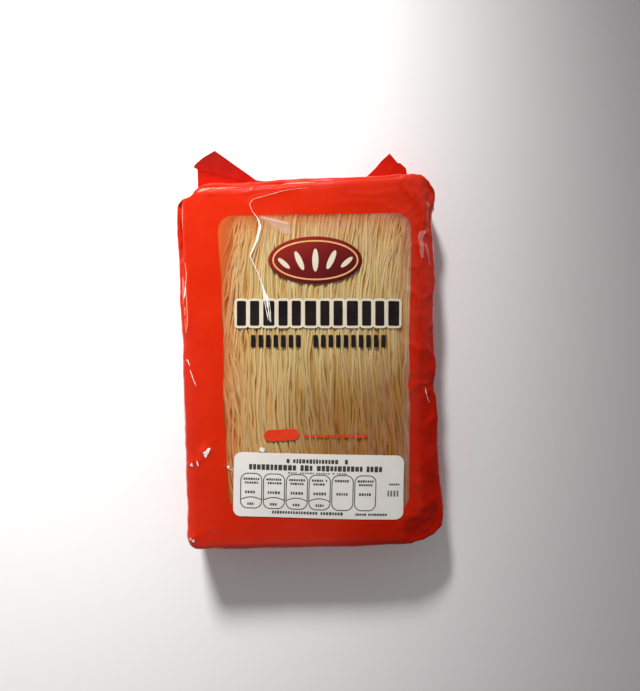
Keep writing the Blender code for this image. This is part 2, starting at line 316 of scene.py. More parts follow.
# ---- mesh making -------------------------------------------------------------
def mesh_object(name, points, faces, material, attributes=None, smooth_angle=None, uv=None, own_uv=False):
    """A mesh object from points in body millimetres and faces given as index lists."""
    mesh = bpy.data.meshes.new(name)
    co = (np.asarray(points, float) - ORIGIN) * MM
    sizes = np.array([len(f) for f in faces])
    loops = np.concatenate([np.asarray(f) for f in faces]) if len(faces) else np.zeros(0, int)
    mesh.vertices.add(len(co))
    mesh.vertices.foreach_set("co", co.astype(np.float32).ravel())
    mesh.loops.add(len(loops))
    mesh.loops.foreach_set("vertex_index", loops.astype(np.int32))
    mesh.polygons.add(len(sizes))
    mesh.polygons.foreach_set("loop_start", np.concatenate([[0], np.cumsum(sizes)[:-1]]).astype(np.int32))
    mesh.polygons.foreach_set("loop_total", sizes.astype(np.int32))
    mesh.update(calc_edges=True)
    mesh.validate()
    mesh.shade_smooth()
    if smooth_angle:
        mesh.set_sharp_from_angle(angle=math.radians(smooth_angle))
    for key, values in (attributes or {}).items():
        attribute = mesh.attributes.new(key, "FLOAT", "POINT")
        attribute.data.foreach_set("value", np.asarray(values, np.float32))
    if uv is not None:
        layer = mesh.uv_layers.new(name="OFBake")
        if own_uv:
            values = uv
        else:
            values = np.asarray(uv)[loops]
        layer.data.foreach_set("uv", np.asarray(values, np.float32).ravel())
    mesh.materials.append(material)
    obj = bpy.data.objects.new(name, mesh)
    bpy.context.scene.collection.objects.link(obj)
    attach(obj, "root")
    return obj


def cut(xy, quads, distance, step):
    """Draws the grid points nearest to the outline onto it and sorts the faces into inside and outside."""
    d = distance(xy)
    near = np.abs(d) <= 0.5 * step
    at = xy[near]
    for _ in range(3):
        e = 0.02
        here = distance(at)
        gx = (distance(at + [e, 0]) - distance(at - [e, 0])) / (2 * e)
        gy = (distance(at + [0, e]) - distance(at - [0, e])) / (2 * e)
        g2 = np.maximum(gx**2 + gy**2, 1e-3)
        at = at - np.stack([gx * here / g2, gy * here / g2], 1)
    moved = np.linalg.norm(at - xy[near], axis=1) < 0.9 * step
    index = np.flatnonzero(near)
    xy = xy.copy()
    xy[index[moved]] = at[moved]
    d = d.copy()
    d[index[moved]] = 0.0
    q = d[quads]
    mixed = (q.min(1) < 0) & (q.max(1) > 0)
    whole = quads[~mixed]
    mean = d[whole].mean(1)
    inside, outside = [whole[mean < 0]], [whole[mean >= 0]]
    halves_in, halves_out = [], []
    for row, dist in zip(quads[mixed], q[mixed]):
        first = 0 if abs(dist[0]) + abs(dist[2]) <= abs(dist[1]) + abs(dist[3]) else 1
        order = row[[first, (first + 1) % 4, (first + 2) % 4, (first + 3) % 4]]
        for tri in ((order[0], order[1], order[2]), (order[0], order[2], order[3])):
            (halves_in if d[list(tri)].mean() < 0 else halves_out).append(tri)
    return xy, inside[0], halves_in, outside[0], halves_out


def flat_grid(x0, x1, y0, y1, step):
    nx, ny = max(1, int(math.ceil((x1 - x0) / step))), max(1, int(math.ceil((y1 - y0) / step)))
    gx, gy = np.meshgrid(np.linspace(x0, x1, nx + 1), np.linspace(y0, y1, ny + 1))
    i, j = np.meshgrid(np.arange(nx), np.arange(ny))
    a = (j * (nx + 1) + i).ravel()
    quads = np.stack([a, a + 1, a + nx + 2, a + nx + 1], 1)
    return np.stack([gx.ravel(), gy.ravel()], 1), quads


def tidy(points, faces, *extra):
    """Drops unused points; faces is a list of arrays or tuples."""
    used = np.unique(np.concatenate([np.asarray(f).ravel() for f in faces]))
    new = np.full(len(points), -1)
    new[used] = np.arange(len(used))
    return points[used], [new[np.asarray(f)] for f in faces], [e[used] for e in extra]


def shape(distance, box, step):
    """The grid faces inside an outline, as plan points and faces."""
    x0, y0, x1, y1 = box
    xy, quads = flat_grid(x0 - step, x1 + step, y0 - step, y1 + step, step)
    xy, inner, halves, _, _ = cut(xy, quads, distance, step)
    faces = list(inner) + [np.array(t) for t in halves]
    return tidy(xy, faces)[:2]


def on_film(name, outlines, material, lift, step=0.6, thick=0.0, attributes=None):
    """Print or paper on the front: each outline is (distance, box)."""
    points, faces, plans = [], [], []
    count = 0
    for distance, box in outlines:
        xy, flat = shape(distance, box, step)
        top, _ = film("top", xy[:, 0], xy[:, 1], lift)
        points.append(top)
        plans.append(xy)
        faces += [f + count for f in flat]
        if thick:
            under, _ = film("top", xy[:, 0], xy[:, 1], lift - thick)
            points.append(under)
            plans.append(xy)
            faces += [(f + count + len(top))[::-1] for f in flat]
            edges = {}
            for f in flat:
                for a, b in zip(f, np.roll(f, -1)):
                    edges[(a, b)] = True
            for a, b in edges:
                if (b, a) not in edges:
                    faces.append(np.array([a, a + len(top), b + len(top), b]) + count)
            count += len(top)
        count += len(top)
    points, plans = np.concatenate(points), np.concatenate(plans)
    uv = (plans + [HX, HY]) / LENGTH
    extra = {k: f(plans) for k, f in (attributes or {}).items()}
    return mesh_object(name, points, faces, material, extra, smooth_angle=40 if thick else None, uv=uv)


# ---- outlines of the print ---------------------------------------------------
def turned(xy, cx, cy, turn):
    c, s = math.cos(-turn), math.sin(-turn)
    dx, dy = xy[:, 0] - cx, xy[:, 1] - cy
    return np.stack([dx * c - dy * s, dx * s + dy * c], 1)


def bar(cx, cy, w, h, radius, turn=0.0):
    def distance(xy):
        return rounded(turned(xy, cx, cy, turn), w / 2, h / 2, radius)

    reach = math.hypot(w, h) / 2 if abs(turn) > 0.3 else None
    half_w = reach or w / 2 + abs(math.sin(turn)) * h / 2
    half_h = reach or h / 2 + abs(math.sin(turn)) * w / 2
    return distance, (cx - half_w, cy - half_h, cx + half_w, cy + half_h)


def oval(cx, cy, w, h, turn=0.0):
    def distance(xy):
        q = turned(xy, cx, cy, turn) / [w / 2, h / 2]
        k = np.linalg.norm(q, axis=1)
        g = np.linalg.norm(q / [w / 2, h / 2], axis=1)
        return k * (k - 1.0) / np.maximum(g, 1e-6)

    reach = max(w, h) / 2
    return distance, (cx - reach, cy - reach, cx + reach, cy + reach)


def ring(outline, width):
    """A line of this width along the inside of an outline."""
    inner, box = outline

    def distance(xy):
        d = inner(xy)
        return np.maximum(d, -d - width)

    return distance, box


def grown(outline, by):
    inner, (x0, y0, x1, y1) = outline
    return (lambda xy: inner(xy) - by), (x0 - by, y0 - by, x1 + by, y1 + by)


def union(*outlines):
    def distance(xy):
        return np.min([o[0](xy) for o in outlines], axis=0)

    boxes = np.array([o[1] for o in outlines])
    return distance, (boxes[:, 0].min(), boxes[:, 1].min(), boxes[:, 2].max(), boxes[:, 3].max())


# The clear window: four nearly straight sides with round corners.
WINDOW = [(-51.0, 88.8), (62.1, 86.3), (55.6, -89.2), (-51.1, -85.6)]
WINDOW_R = 9.0


def window(xy):
    sides = []
    for a, b in zip(WINDOW, WINDOW[1:] + WINDOW[:1]):
        a, b = np.array(a), np.array(b)
        d = (b - a) / np.linalg.norm(b - a)
        normal = np.array([-d[1], d[0]])
        sides.append((xy - a) @ normal)
    top, right, bottom, left = sides
    wave = 0.45 * np.sin(xy[:, 1] / 17.0) + 0.25 * np.sin(xy[:, 1] / 7.3 + 1.0)
    across = np.maximum(right + 0.3 * wave, left + wave) + WINDOW_R
    upright = np.maximum(top, bottom) + WINDOW_R
    return np.hypot(np.maximum(across, 0), np.maximum(upright, 0)) + np.minimum(np.maximum(across, upright), 0) - WINDOW_R


# ---- materials ---------------------------------------------------------------
class Nodes:
    def __init__(self, name):
        self.mat = bpy.data.materials.new(name)
        self.mat.use_nodes = True
        self.tree = self.mat.node_tree
        self.tree.nodes.clear()
        self.out = self.tree.nodes.new("ShaderNodeOutputMaterial")
        self.place = self.tree.nodes.new("ShaderNodeTexCoord").outputs["Object"]

    def new(self, kind, **values):
        node = self.tree.nodes.new(kind)
        for key, value in values.items():
            if hasattr(value, "is_output"):
                self.tree.links.new(value, node.inputs[key])
            elif key in node.inputs.keys():
                node.inputs[key].default_value = value
            else:
                setattr(node, key, value)
        return node

    def link(self, a, b):
        self.tree.links.new(a, b)

    def noise(self, scale, detail=2.0, stretch=None, roughness=0.5, distortion=0.0):
        place = self.place
        if stretch:
            mapping = self.new("ShaderNodeMapping", Vector=place)
            mapping.inputs["Scale"].default_value = stretch
            place = mapping.outputs[0]
        node = self.new("ShaderNodeTexNoise", Vector=place, Scale=scale, Detail=detail, Roughness=roughness, Distortion=distortion)
        return node.outputs["Fac"]

    def ramp(self, value, stops):
        node = self.new("ShaderNodeValToRGB", Fac=value)
        ramp = node.color_ramp
        while len(ramp.elements) > 2:
            ramp.elements.remove(ramp.elements[-1])
        for k, (at, colour) in enumerate(stops):
            element = ramp.elements[k] if k < 2 else ramp.elements.new(at)
            element.position = at
            element.color = (*colour, 1.0)
        return node.outputs["Color"]

    def mix(self, fac, a, b, blend="MIX"):
        node = self.tree.nodes.new("ShaderNodeMix")
        node.data_type = "RGBA"
        node.blend_type = blend
        for socket, value in ((node.inputs[0], fac), (node.inputs[6], a), (node.inputs[7], b)):
            if hasattr(value, "is_output"):
                self.tree.links.new(value, socket)
            elif isinstance(value, tuple):
                socket.default_value = (*value, 1.0)
            else:
                socket.default_value = value
        return node.outputs[2]

    def math(self, operation, a, b=0.0):
        node = self.tree.nodes.new("ShaderNodeMath")
        node.operation = operation
        for socket, value in zip(node.inputs, (a, b)):
            if hasattr(value, "is_output"):
                self.tree.links.new(value, socket)
            else:
                socket.default_value = value
        return node.outputs[0]

    def attribute(self, name):
        return self.new("ShaderNodeAttribute", attribute_name=name).outputs["Fac"]

    def bump(self, height, strength, distance, normal=None):
        node = self.new("ShaderNodeBump", Height=height, Strength=strength, Distance=distance)
        if normal is not None:
            self.link(normal, node.inputs["Normal"])
        return node.outputs["Normal"]

    def principled(self, **values):
        node = self.tree.nodes.new("ShaderNodeBsdfPrincipled")
        for key, value in values.items():
            socket = node.inputs[key.replace("_", " ")]
            if hasattr(value, "is_output"):
                self.tree.links.new(value, socket)
            elif isinstance(value, tuple):
                socket.default_value = (*value, 1.0) if socket.type == "RGBA" else value
            else:
                socket.default_value = value
        return node.outputs["BSDF"]

    def finish(self, shader):
        self.link(shader, self.out.inputs["Surface"])
        return self.mat


def printed_film():
    m = Nodes("printed_film")
    broad = m.noise(34.0, 3.0)
    mottle = m.noise(160.0, 4.0, roughness=0.6)
    colour = m.ramp(broad, [(0.3, (0.62, 0.0175, 0.002)), (0.7, (0.685, 0.025, 0.003))])
    colour = m.mix(m.math("MULTIPLY", mottle, 0.25), colour, (0.53, 0.012, 0.002))
    # painted shade: the shade attribute darkens the red where shade and shadow fall
    colour = m.mix(m.attribute("shade"), colour, (0.42, 0.008, 0.002))
    height = m.noise(120.0, 2.0, stretch=(1.0, 0.6, 1.0), distortion=0.4)
    rough = m.math("ADD", m.math("MULTIPLY", mottle, 0.08), 0.12)
    rough = m.math("ADD", rough, m.math("MULTIPLY", m.attribute("dull"), 0.28))
    shine = m.math("SUBTRACT", 0.46, m.math("MULTIPLY", m.attribute("dull"), 0.36))
    shine = m.math("MAXIMUM", m.math("SUBTRACT", shine, m.math("MULTIPLY", m.attribute("shade"), 0.50)), 0.06)
    return m.finish(m.principled(Base_Color=colour, Roughness=rough, IOR=1.45, Specular_IOR_Level=shine, Normal=m.bump(height, 0.12, 0.0006)))


def folded_film():
    """Printed film lying double, so that less light comes through it."""
    m = Nodes("folded_film")
    colour = m.ramp(m.noise(60.0, 3.0), [(0.3, (0.54, 0.010, 0.003)), (0.7, (0.64, 0.015, 0.004))])
    # painted shade: darker where the shade attribute is set, beside the fold and at the flap's root
    colour = m.mix(m.attribute("shade"), colour, (0.34, 0.006, 0.004))
    height = m.noise(260.0, 3.0, stretch=(1.0, 0.7, 1.0), distortion=0.6)
    return m.finish(m.principled(Base_Color=colour, Roughness=0.2, IOR=1.45, Normal=m.bump(height, 0.3, 0.0006)))


def clear_film():
    """Clear film with the frame's ink thinning out inside its border, and patches of painted reflection."""
    m = Nodes("clear_film")
    height = m.noise(110.0, 2.0, stretch=(1.0, 0.5, 1.0), distortion=0.5)
    normal = m.bump(height, 0.12, 0.0006)
    facing = m.new("ShaderNodeLayerWeight", Blend=0.5, Normal=normal).outputs["Facing"]
    mirror = m.math("ADD", m.math("MULTIPLY", m.math("POWER", facing, 4.0), 0.8), 0.045)
    clear = m.new("ShaderNodeBsdfTransparent", Color=(0.97, 0.965, 0.95, 1.0))
    shine = m.new("ShaderNodeBsdfGlossy", Roughness=0.09, Color=(1.0, 1.0, 1.0, 1.0))
    m.link(normal, shine.inputs["Normal"])
    glass = m.new("ShaderNodeMixShader", Fac=mirror)
    m.link(clear.outputs[0], glass.inputs[1])
    m.link(shine.outputs[0], glass.inputs[2])
    ink = m.principled(Base_Color=(0.68, 0.115, 0.024), Roughness=0.3, IOR=1.2)
    both = m.new("ShaderNodeMixShader", Fac=m.attribute("ink"))
    m.link(glass.outputs[0], both.inputs[1])
    m.link(ink, both.inputs[2])
    # a pale painted reflection, mixed in where the attribute read below is set
    pale = m.principled(Base_Color=(0.93, 0.74, 0.66), Roughness=0.3, IOR=1.45)
    with_painted_sheen = m.new("ShaderNodeMixShader", Fac=m.attribute("painted_sheen"))
    m.link(both.outputs[0], with_painted_sheen.inputs[1])
    m.link(pale, with_painted_sheen.inputs[2])
    return m.finish(with_painted_sheen.outputs[0])


def ink_film(name, dark, light, rough=0.22):
    m = Nodes(name)
    colour = m.ramp(m.noise(90.0, 3.0), [(0.3, dark), (0.7, light)])
    normal = m.bump(m.noise(120.0, 2.0), 0.12, 0.0004)
    return m.finish(m.principled(Base_Color=colour, Roughness=rough, IOR=1.45, Normal=normal))


def noodle():
    m = Nodes("noodle")
    tone = m.attribute("tone")
    gap_shade = m.attribute("gap_shade")
    grain = m.noise(420.0, 3.0, stretch=(1.0, 0.12, 1.0))
    colour = m.ramp(tone, [(0.0, (0.58, 0.375, 0.125)), (0.5, (0.71, 0.525, 0.225)), (1.0, (0.83, 0.69, 0.39))])
    colour = m.mix(m.math("MULTIPLY", grain, 0.20), colour, (0.59, 0.40, 0.15))
    # painted shade: browner in the gaps between strands and in the partings
    colour = m.mix(1.0, colour, m.ramp(gap_shade, [(0.0, (1.0, 1.0, 1.0)), (0.5, (0.93, 0.82, 0.66)), (1.0, (0.68, 0.44, 0.26))]), blend="MULTIPLY")
    # painted light and shade: redder where red light from the border falls, browner low on the right
    colour = m.mix(m.attribute("warm"), colour, (1.0, 0.69, 0.53), blend="MULTIPLY")
    # painted shadow: darker towards the lower right
    colour = m.mix(m.attribute("painted_shadow"), colour, (0.66, 0.53, 0.34), blend="MULTIPLY")
    normal = m.bump(grain, 0.25, 0.0002)
    return m.finish(m.principled(Base_Color=colour, Roughness=0.6, IOR=1.3, Subsurface_Weight=0.35, Subsurface_Radius=(1.0, 0.8, 0.6), Subsurface_Scale=0.0012, Normal=normal))


def paper():
    m = Nodes("label_paper")
    fibre = m.noise(700.0, 4.0)
    colour = m.ramp(m.noise(60.0, 3.0), [(0.3, (0.83, 0.80, 0.75)), (0.7, (0.88, 0.86, 0.82))])
    return m.finish(m.principled(Base_Color=colour, Roughness=0.55, Normal=m.bump(fibre, 0.12, 0.0001)))


def label_ink(name, shade):
    m = Nodes(name)
    speck = m.noise(900.0, 2.0)
    colour = m.ramp(speck, [(0.35, shade), (0.75, tuple(min(1.0, c + 0.07) for c in shade))])
    return m.finish(m.principled(Base_Color=colour, Roughness=0.5))


def badge_ink_with_painted_light():
    """Maroon print with painted light: lighter at the upper left as a painted highlight, darker towards the lower right
    as painted shade.
    """
    m = Nodes("ink_maroon")
    split = m.new("ShaderNodeSeparateXYZ", Vector=m.place)
    slant = m.math("SUBTRACT", m.math("MULTIPLY", split.outputs["X"], 9.0), m.math("MULTIPLY", split.outputs["Y"], 24.0))
    slant = m.math("ADD", slant, m.math("MULTIPLY", m.noise(90.0, 3.0), 0.2))
    colour = m.ramp(m.math("ADD", slant, 1.6), [(0.05, (0.30, 0.020, 0.014)), (0.5, (0.16, 0.010, 0.010)), (0.95, (0.065, 0.005, 0.008))])
    return m.finish(m.principled(Base_Color=colour, Roughness=0.22, IOR=1.45, Normal=m.bump(m.noise(120.0, 2.0), 0.12, 0.0004)))


FILM, FOLDED, CLEAR = printed_film(), folded_film(), clear_film()
NOODLE, PAPER = noodle(), paper()
INK_BLACK = ink_film("ink_black", (0.010, 0.007, 0.008), (0.022, 0.015, 0.016))
INK_CREAM = ink_film("ink_cream", (0.72, 0.64, 0.48), (0.78, 0.71, 0.55))
INK_MAROON = badge_ink_with_painted_light()
INK_GOLD = ink_film("ink_gold", (0.76, 0.36, 0.13), (0.86, 0.48, 0.22))
INK_RED = ink_film("ink_red", (0.72, 0.040, 0.012), (0.82, 0.055, 0.016))
# painted light on the film: white highlights, pinkish glints, dim reflections and lit red patches; the unprinted film
# is plain film
PAINTED_WHITE_HIGHLIGHT = ink_film("film_painted_white_highlight", (0.93, 0.90, 0.84), (0.97, 0.95, 0.90), rough=0.2)
FADED = ink_film("unprinted_film", (0.72, 0.66, 0.60), (0.80, 0.75, 0.70), rough=0.2)
GLINT = ink_film("film_glint", (0.92, 0.40, 0.24), (0.96, 0.60, 0.44), rough=0.2)
PAINTED_SHEEN_DIM = ink_film("film_painted_sheen_dim", (0.56, 0.13, 0.11), (0.68, 0.22, 0.19), rough=0.25)
PAINTED_LIT_RED = ink_film("film_painted_lit_red", (0.86, 0.13, 0.07), (0.90, 0.24, 0.16), rough=0.25)
LABEL_BLACK = label_ink("label_black", (0.02, 0.02, 0.022))
LABEL_GREY = label_ink("label_grey", (0.16, 0.15, 0.15))


# ---- printed film: the front's frame, the walls and the turn under the back -----
def make_wrap():
    step = 0.8
    xs = np.linspace(-HX, HX, int(round(WIDTH / step)) + 1)
    ys = np.linspace(-HY, HY, int(round(LENGTH / step)) + 1)
    zs = np.linspace(0.0, EDGE_THICK, 35)
    nx, ny, nz = len(xs) - 1, len(ys) - 1, len(zs) - 1

    def code(i, j, k):
        return (i * (ny + 1) + j) * (nz + 1) + k

    def quads_of(na, nb, corner):
        a, b = np.meshgrid(np.arange(na), np.arange(nb))
        a, b = a.ravel(), b.ravel()
        return np.stack([corner(a, b), corner(a + 1, b), corner(a + 1, b + 1), corner(a, b + 1)], 1)

    top = quads_of(nx, ny, lambda a, b: code(a, b, nz))
    bottom = quads_of(nx, ny, lambda a, b: code(a, b, 0))[:, ::-1]
    walls = [
        quads_of(ny, nz, lambda a, b: code(nx, a, b)),
        quads_of(ny, nz, lambda a, b: code(0, a, b))[:, ::-1],
        quads_of(nx, nz, lambda a, b: code(a, ny, b))[:, ::-1],
        quads_of(nx, nz, lambda a, b: code(a, 0, b)),
    ]
    every = np.concatenate([top, bottom] + walls)
    codes, inverse = np.unique(every, return_inverse=True)
    inverse = inverse.reshape(every.shape)
    i, j, k = codes // ((ny + 1) * (nz + 1)), codes // (nz + 1) % (ny + 1), codes % (nz + 1)
    place = np.stack([xs[i], ys[j], zs[k]], 1)
    top_q, rest = inverse[: len(top)], inverse[len(top):]
    bottom_q, wall_q = rest[: len(bottom)], rest[len(bottom):]
    # the window is cut out of the front
    flat = place[:, :2].copy()
    moved, _, _, outer, halves = cut(flat, top_q, window, step)
    only_top = (k == nz)
    place[only_top, :2] = moved[only_top]
    # only the turned edge of the underside belongs to this piece
    mid = place[bottom_q].mean(1)
    ring_q = bottom_q[(np.abs(mid[:, 0]) > HX - EDGE_R) | (np.abs(mid[:, 1]) > HY - EDGE_R)]
    faces = list(outer) + [np.array(t) for t in halves] + list(ring_q) + list(wall_q)
    place, faces, (ii, jj, kk) = tidy(place, faces, i, j, k)
    points = np.zeros_like(place)
    face_of = np.select([kk == nz, kk == 0, ii == nx, ii == 0, jj == ny], [0, 1, 2, 3, 4], 5)
    for number, (face, pick) in enumerate([("top", (0, 1)), ("bottom", (0, 1)), ("+x", (1, 2)), ("-x", (1, 2)), ("+y", (0, 2)), ("-y", (0, 2))]):
        on = face_of == number
        points[on], _ = film(face, place[on][:, pick[0]], place[on][:, pick[1]])
    points[:, 2] = np.maximum(points[:, 2], 0.0)
    # unfolded like a box, walls lying around the front; this map is made but not given to the piece
    uv = place[:, :2].copy()
    drop = EDGE_THICK - place[:, 2]
    uv[:, 0] += np.where(face_of == 2, drop, np.where(face_of == 3, -drop, 0))
    uv[:, 1] += np.where(face_of == 4, drop, np.where(face_of == 5, -drop, 0))
    at = points[:, :2]
    # painted shade: the right border darker beyond its bend and low down, a painted shadow over the right of the bottom
    # border, and darker streaks on the strip of the left wall
    patchy = 0.75 + 0.5 * noise3(points, (9.0, 15.0, 9.0), 77)
    shade = (0.60 - 0.32 * smooth(0.0, 80.0, at[:, 1])) * smooth(60.5, 66.5, at[:, 0]) * patchy + 0.45 * smooth(50.0, 60.0, at[:, 0]) * smooth(25.0, -45.0, at[:, 1]) + 0.45 * smooth(-12.0, 30.0, at[:, 0]) * smooth(-90.0, -98.0, at[:, 1])
    shade += 0.30 * smooth(0.0, 50.0, at[:, 0]) * smooth(-86.0, -98.0, at[:, 1])
    strip = smooth(-72.6, -74.0, at[:, 0]) * smooth(66.0, 74.0, at[:, 1]) * smooth(103.0, 97.0, at[:, 1])
    shade += strip * np.clip(0.45 + 0.9 * noise3(points @ np.array([[1.0, 0, 0], [0.5, 1.0, 0], [0, 0, 1.0]]).T, (2.0, 5.5, 6.0), 78), 0, 1)
    dull = smooth(100.5, 103.5, at[:, 1]) * (1 - smooth(0.0, 30.0, at[:, 0]))
    return mesh_object("printed_film", points, faces, FILM, {"shade": np.clip(shade, 0, 1), "dull": dull})


def make_back():
    step = 1.6
    xy, quads = flat_grid(-(HX - EDGE_R) - 0.6, HX - EDGE_R + 0.6, -(HY - EDGE_R) - 0.6, HY - EDGE_R + 0.6, step)
    p = np.concatenate([xy, np.zeros((len(xy), 1))], 1)
    inner = smooth(0.0, 9.0, np.minimum(HX - EDGE_R + 0.6 - np.abs(xy[:, 0]), HY - EDGE_R + 0.6 - np.abs(xy[:, 1])))
    lift = 0.06 + inner * (0.28 + 0.35 * ridged(p, (24.0, 38.0, 20.0), 12) + 0.2 * ridged(p, (9.0, 14.0, 9.0), 14))
    across = np.abs(xy[:, 0] - 4.0)
    lift *= smooth(6.5, 12.0, across) * 0.85 + 0.15
    p[:, 2] = lift
    return mesh_object("printed_film_back", p, list(quads[:, ::-1]), FILM)


def make_back_seam():
    """The lap seam down the back: a flat strip with a crimped band."""
    nx, ny = 26, 250
    a, b = np.meshgrid(np.linspace(-6.0, 6.0, nx + 1), np.linspace(-(HY - 9), HY - 9, ny + 1))
    a, b = a.ravel(), b.ravel()
    crimp = 0.05 + 0.05 * np.sin(b * 2 * math.pi / 2.2) * smooth(-1.0, 0.0, a) * (1 - smooth(4.5, 5.5, a))
    wander = 0.6 * np.sin(b / 31.0)
    low = np.stack([a + 4.0 + wander, b, crimp], 1)
    high = low + [0, 0, 0.12]
    quads = flat_grid(0, nx, 0, ny, 1.0)[1]
    faces = list(quads[:, ::-1]) + list(quads + len(low))
    rim = list(range(nx + 1)) + [j * (nx + 1) + nx for j in range(1, ny + 1)] + [ny * (nx + 1) + i for i in range(nx - 1, -1, -1)] + [j * (nx + 1) for j in range(ny - 1, 0, -1)]
    for u, v in zip(rim, rim[1:] + rim[:1]):
        faces.append(np.array([u, v, v + len(low), u + len(low)]))
    return mesh_object("back_seam", np.concatenate([low, high]), faces, FILM, smooth_angle=50)


def make_window_film():
    over = 1.0
    box = (WINDOW[0][0] - 4, WINDOW[3][1] - 6, WINDOW[1][0] + 4, WINDOW[0][1] + 4)
    xy, faces = shape(lambda q: window(q) - over, box, 0.55)
    points, _ = film("top", xy[:, 0], xy[:, 1], -0.05)
    d = window(xy)
    top = smooth(40.0, 88.0, xy[:, 1])
    left = smooth(0.0, -50.0, xy[:, 0])
    ink = (0.15 + 0.36 * top + 0.18 * left) * np.exp(np.minimum(d, 0) / (2.6 + 2.2 * top + 1.6 * left))
    ink += smooth(-41.0, -50.0, xy[:, 0]) * (0.06 + 0.28 * smooth(10.0, 80.0, xy[:, 1]))
    # painted reflection: a pale sheen on a turned facet of the film near the top and along its upper edge, in faint
    # streaks, and near the window's border towards the right
    facet = [(-27.6, 87.4), (-22.0, 85.7), (-17.3, 84.6), (-12.7, 83.0), (-8.6, 82.0), (-8.7, 76.5), (-12.5, 76.0), (-17.5, 79.0), (-23.0, 83.0)]
    painted_sheen = 0.26 * smooth(0.8, -1.6, polygon(facet)[0](xy))
    edge, _, share = along([(-27.6, 87.4), (-22.0, 85.7), (-17.3, 84.4), (-12.7, 83.0), (-8.6, 82.0)], xy)
    painted_sheen += 0.42 * np.exp(-((edge / 0.55) ** 2)) * smooth(0.0, 0.2, share) * smooth(1.0, 0.85, share)
    p = np.concatenate([xy, np.zeros((len(xy), 1))], 1)
    painted_sheen += 0.10 * ridged(p, (12.0, 40.0, 10.0), 90) ** 3 * smooth(-30.0, 20.0, xy[:, 0])
    painted_sheen += 0.10 * smooth(-6.0, 0.0, d) * smooth(20.0, 60.0, xy[:, 0])
    return mesh_object("clear_window", points, faces, CLEAR, {"ink": np.clip(ink, 0, 0.85), "painted_sheen": np.clip(painted_sheen, 0, 0.6)}, uv=(xy + [HX, HY]) / LENGTH)


# ---- the noodles -------------------------------------------------------------
def front_height(x, y):
    return film("top", np.clip(x, -HX + 12, HX - 12), np.clip(y, -HY + 12, HY - 12))[0][:, 2]


def flow(s, y, layer):
    """How far a strand that starts at s has wandered sideways at y: the bundle bows, both ends to the right."""
    p = np.stack([s, y, np.full_like(s, 40.0 * layer)], 1)
    upper = 7.5 + 3.5 * np.exp(-(((s - 36) / 20) ** 2)) + 3.5 * np.exp(-(((s + 52) / 12) ** 2)) - 3.0 * np.exp(-(((s + 8) / 16) ** 2))
    lower = 8.5 + 2.5 * np.exp(-((s / 24) ** 2)) + 5.0 * np.exp(-(((s + 50) / 15) ** 2))
    bow = np.where(y > 0, upper, lower) * (y / 92.0) ** 2
    return bow + 2.6 * noise3(p, (26.0, 80.0, 9.0), 20) + 1.7 * noise3(p, (9.0, 44.0, 9.0), 21) + 0.8 * noise3(p, (3.2, 28.0, 9.0), 22)


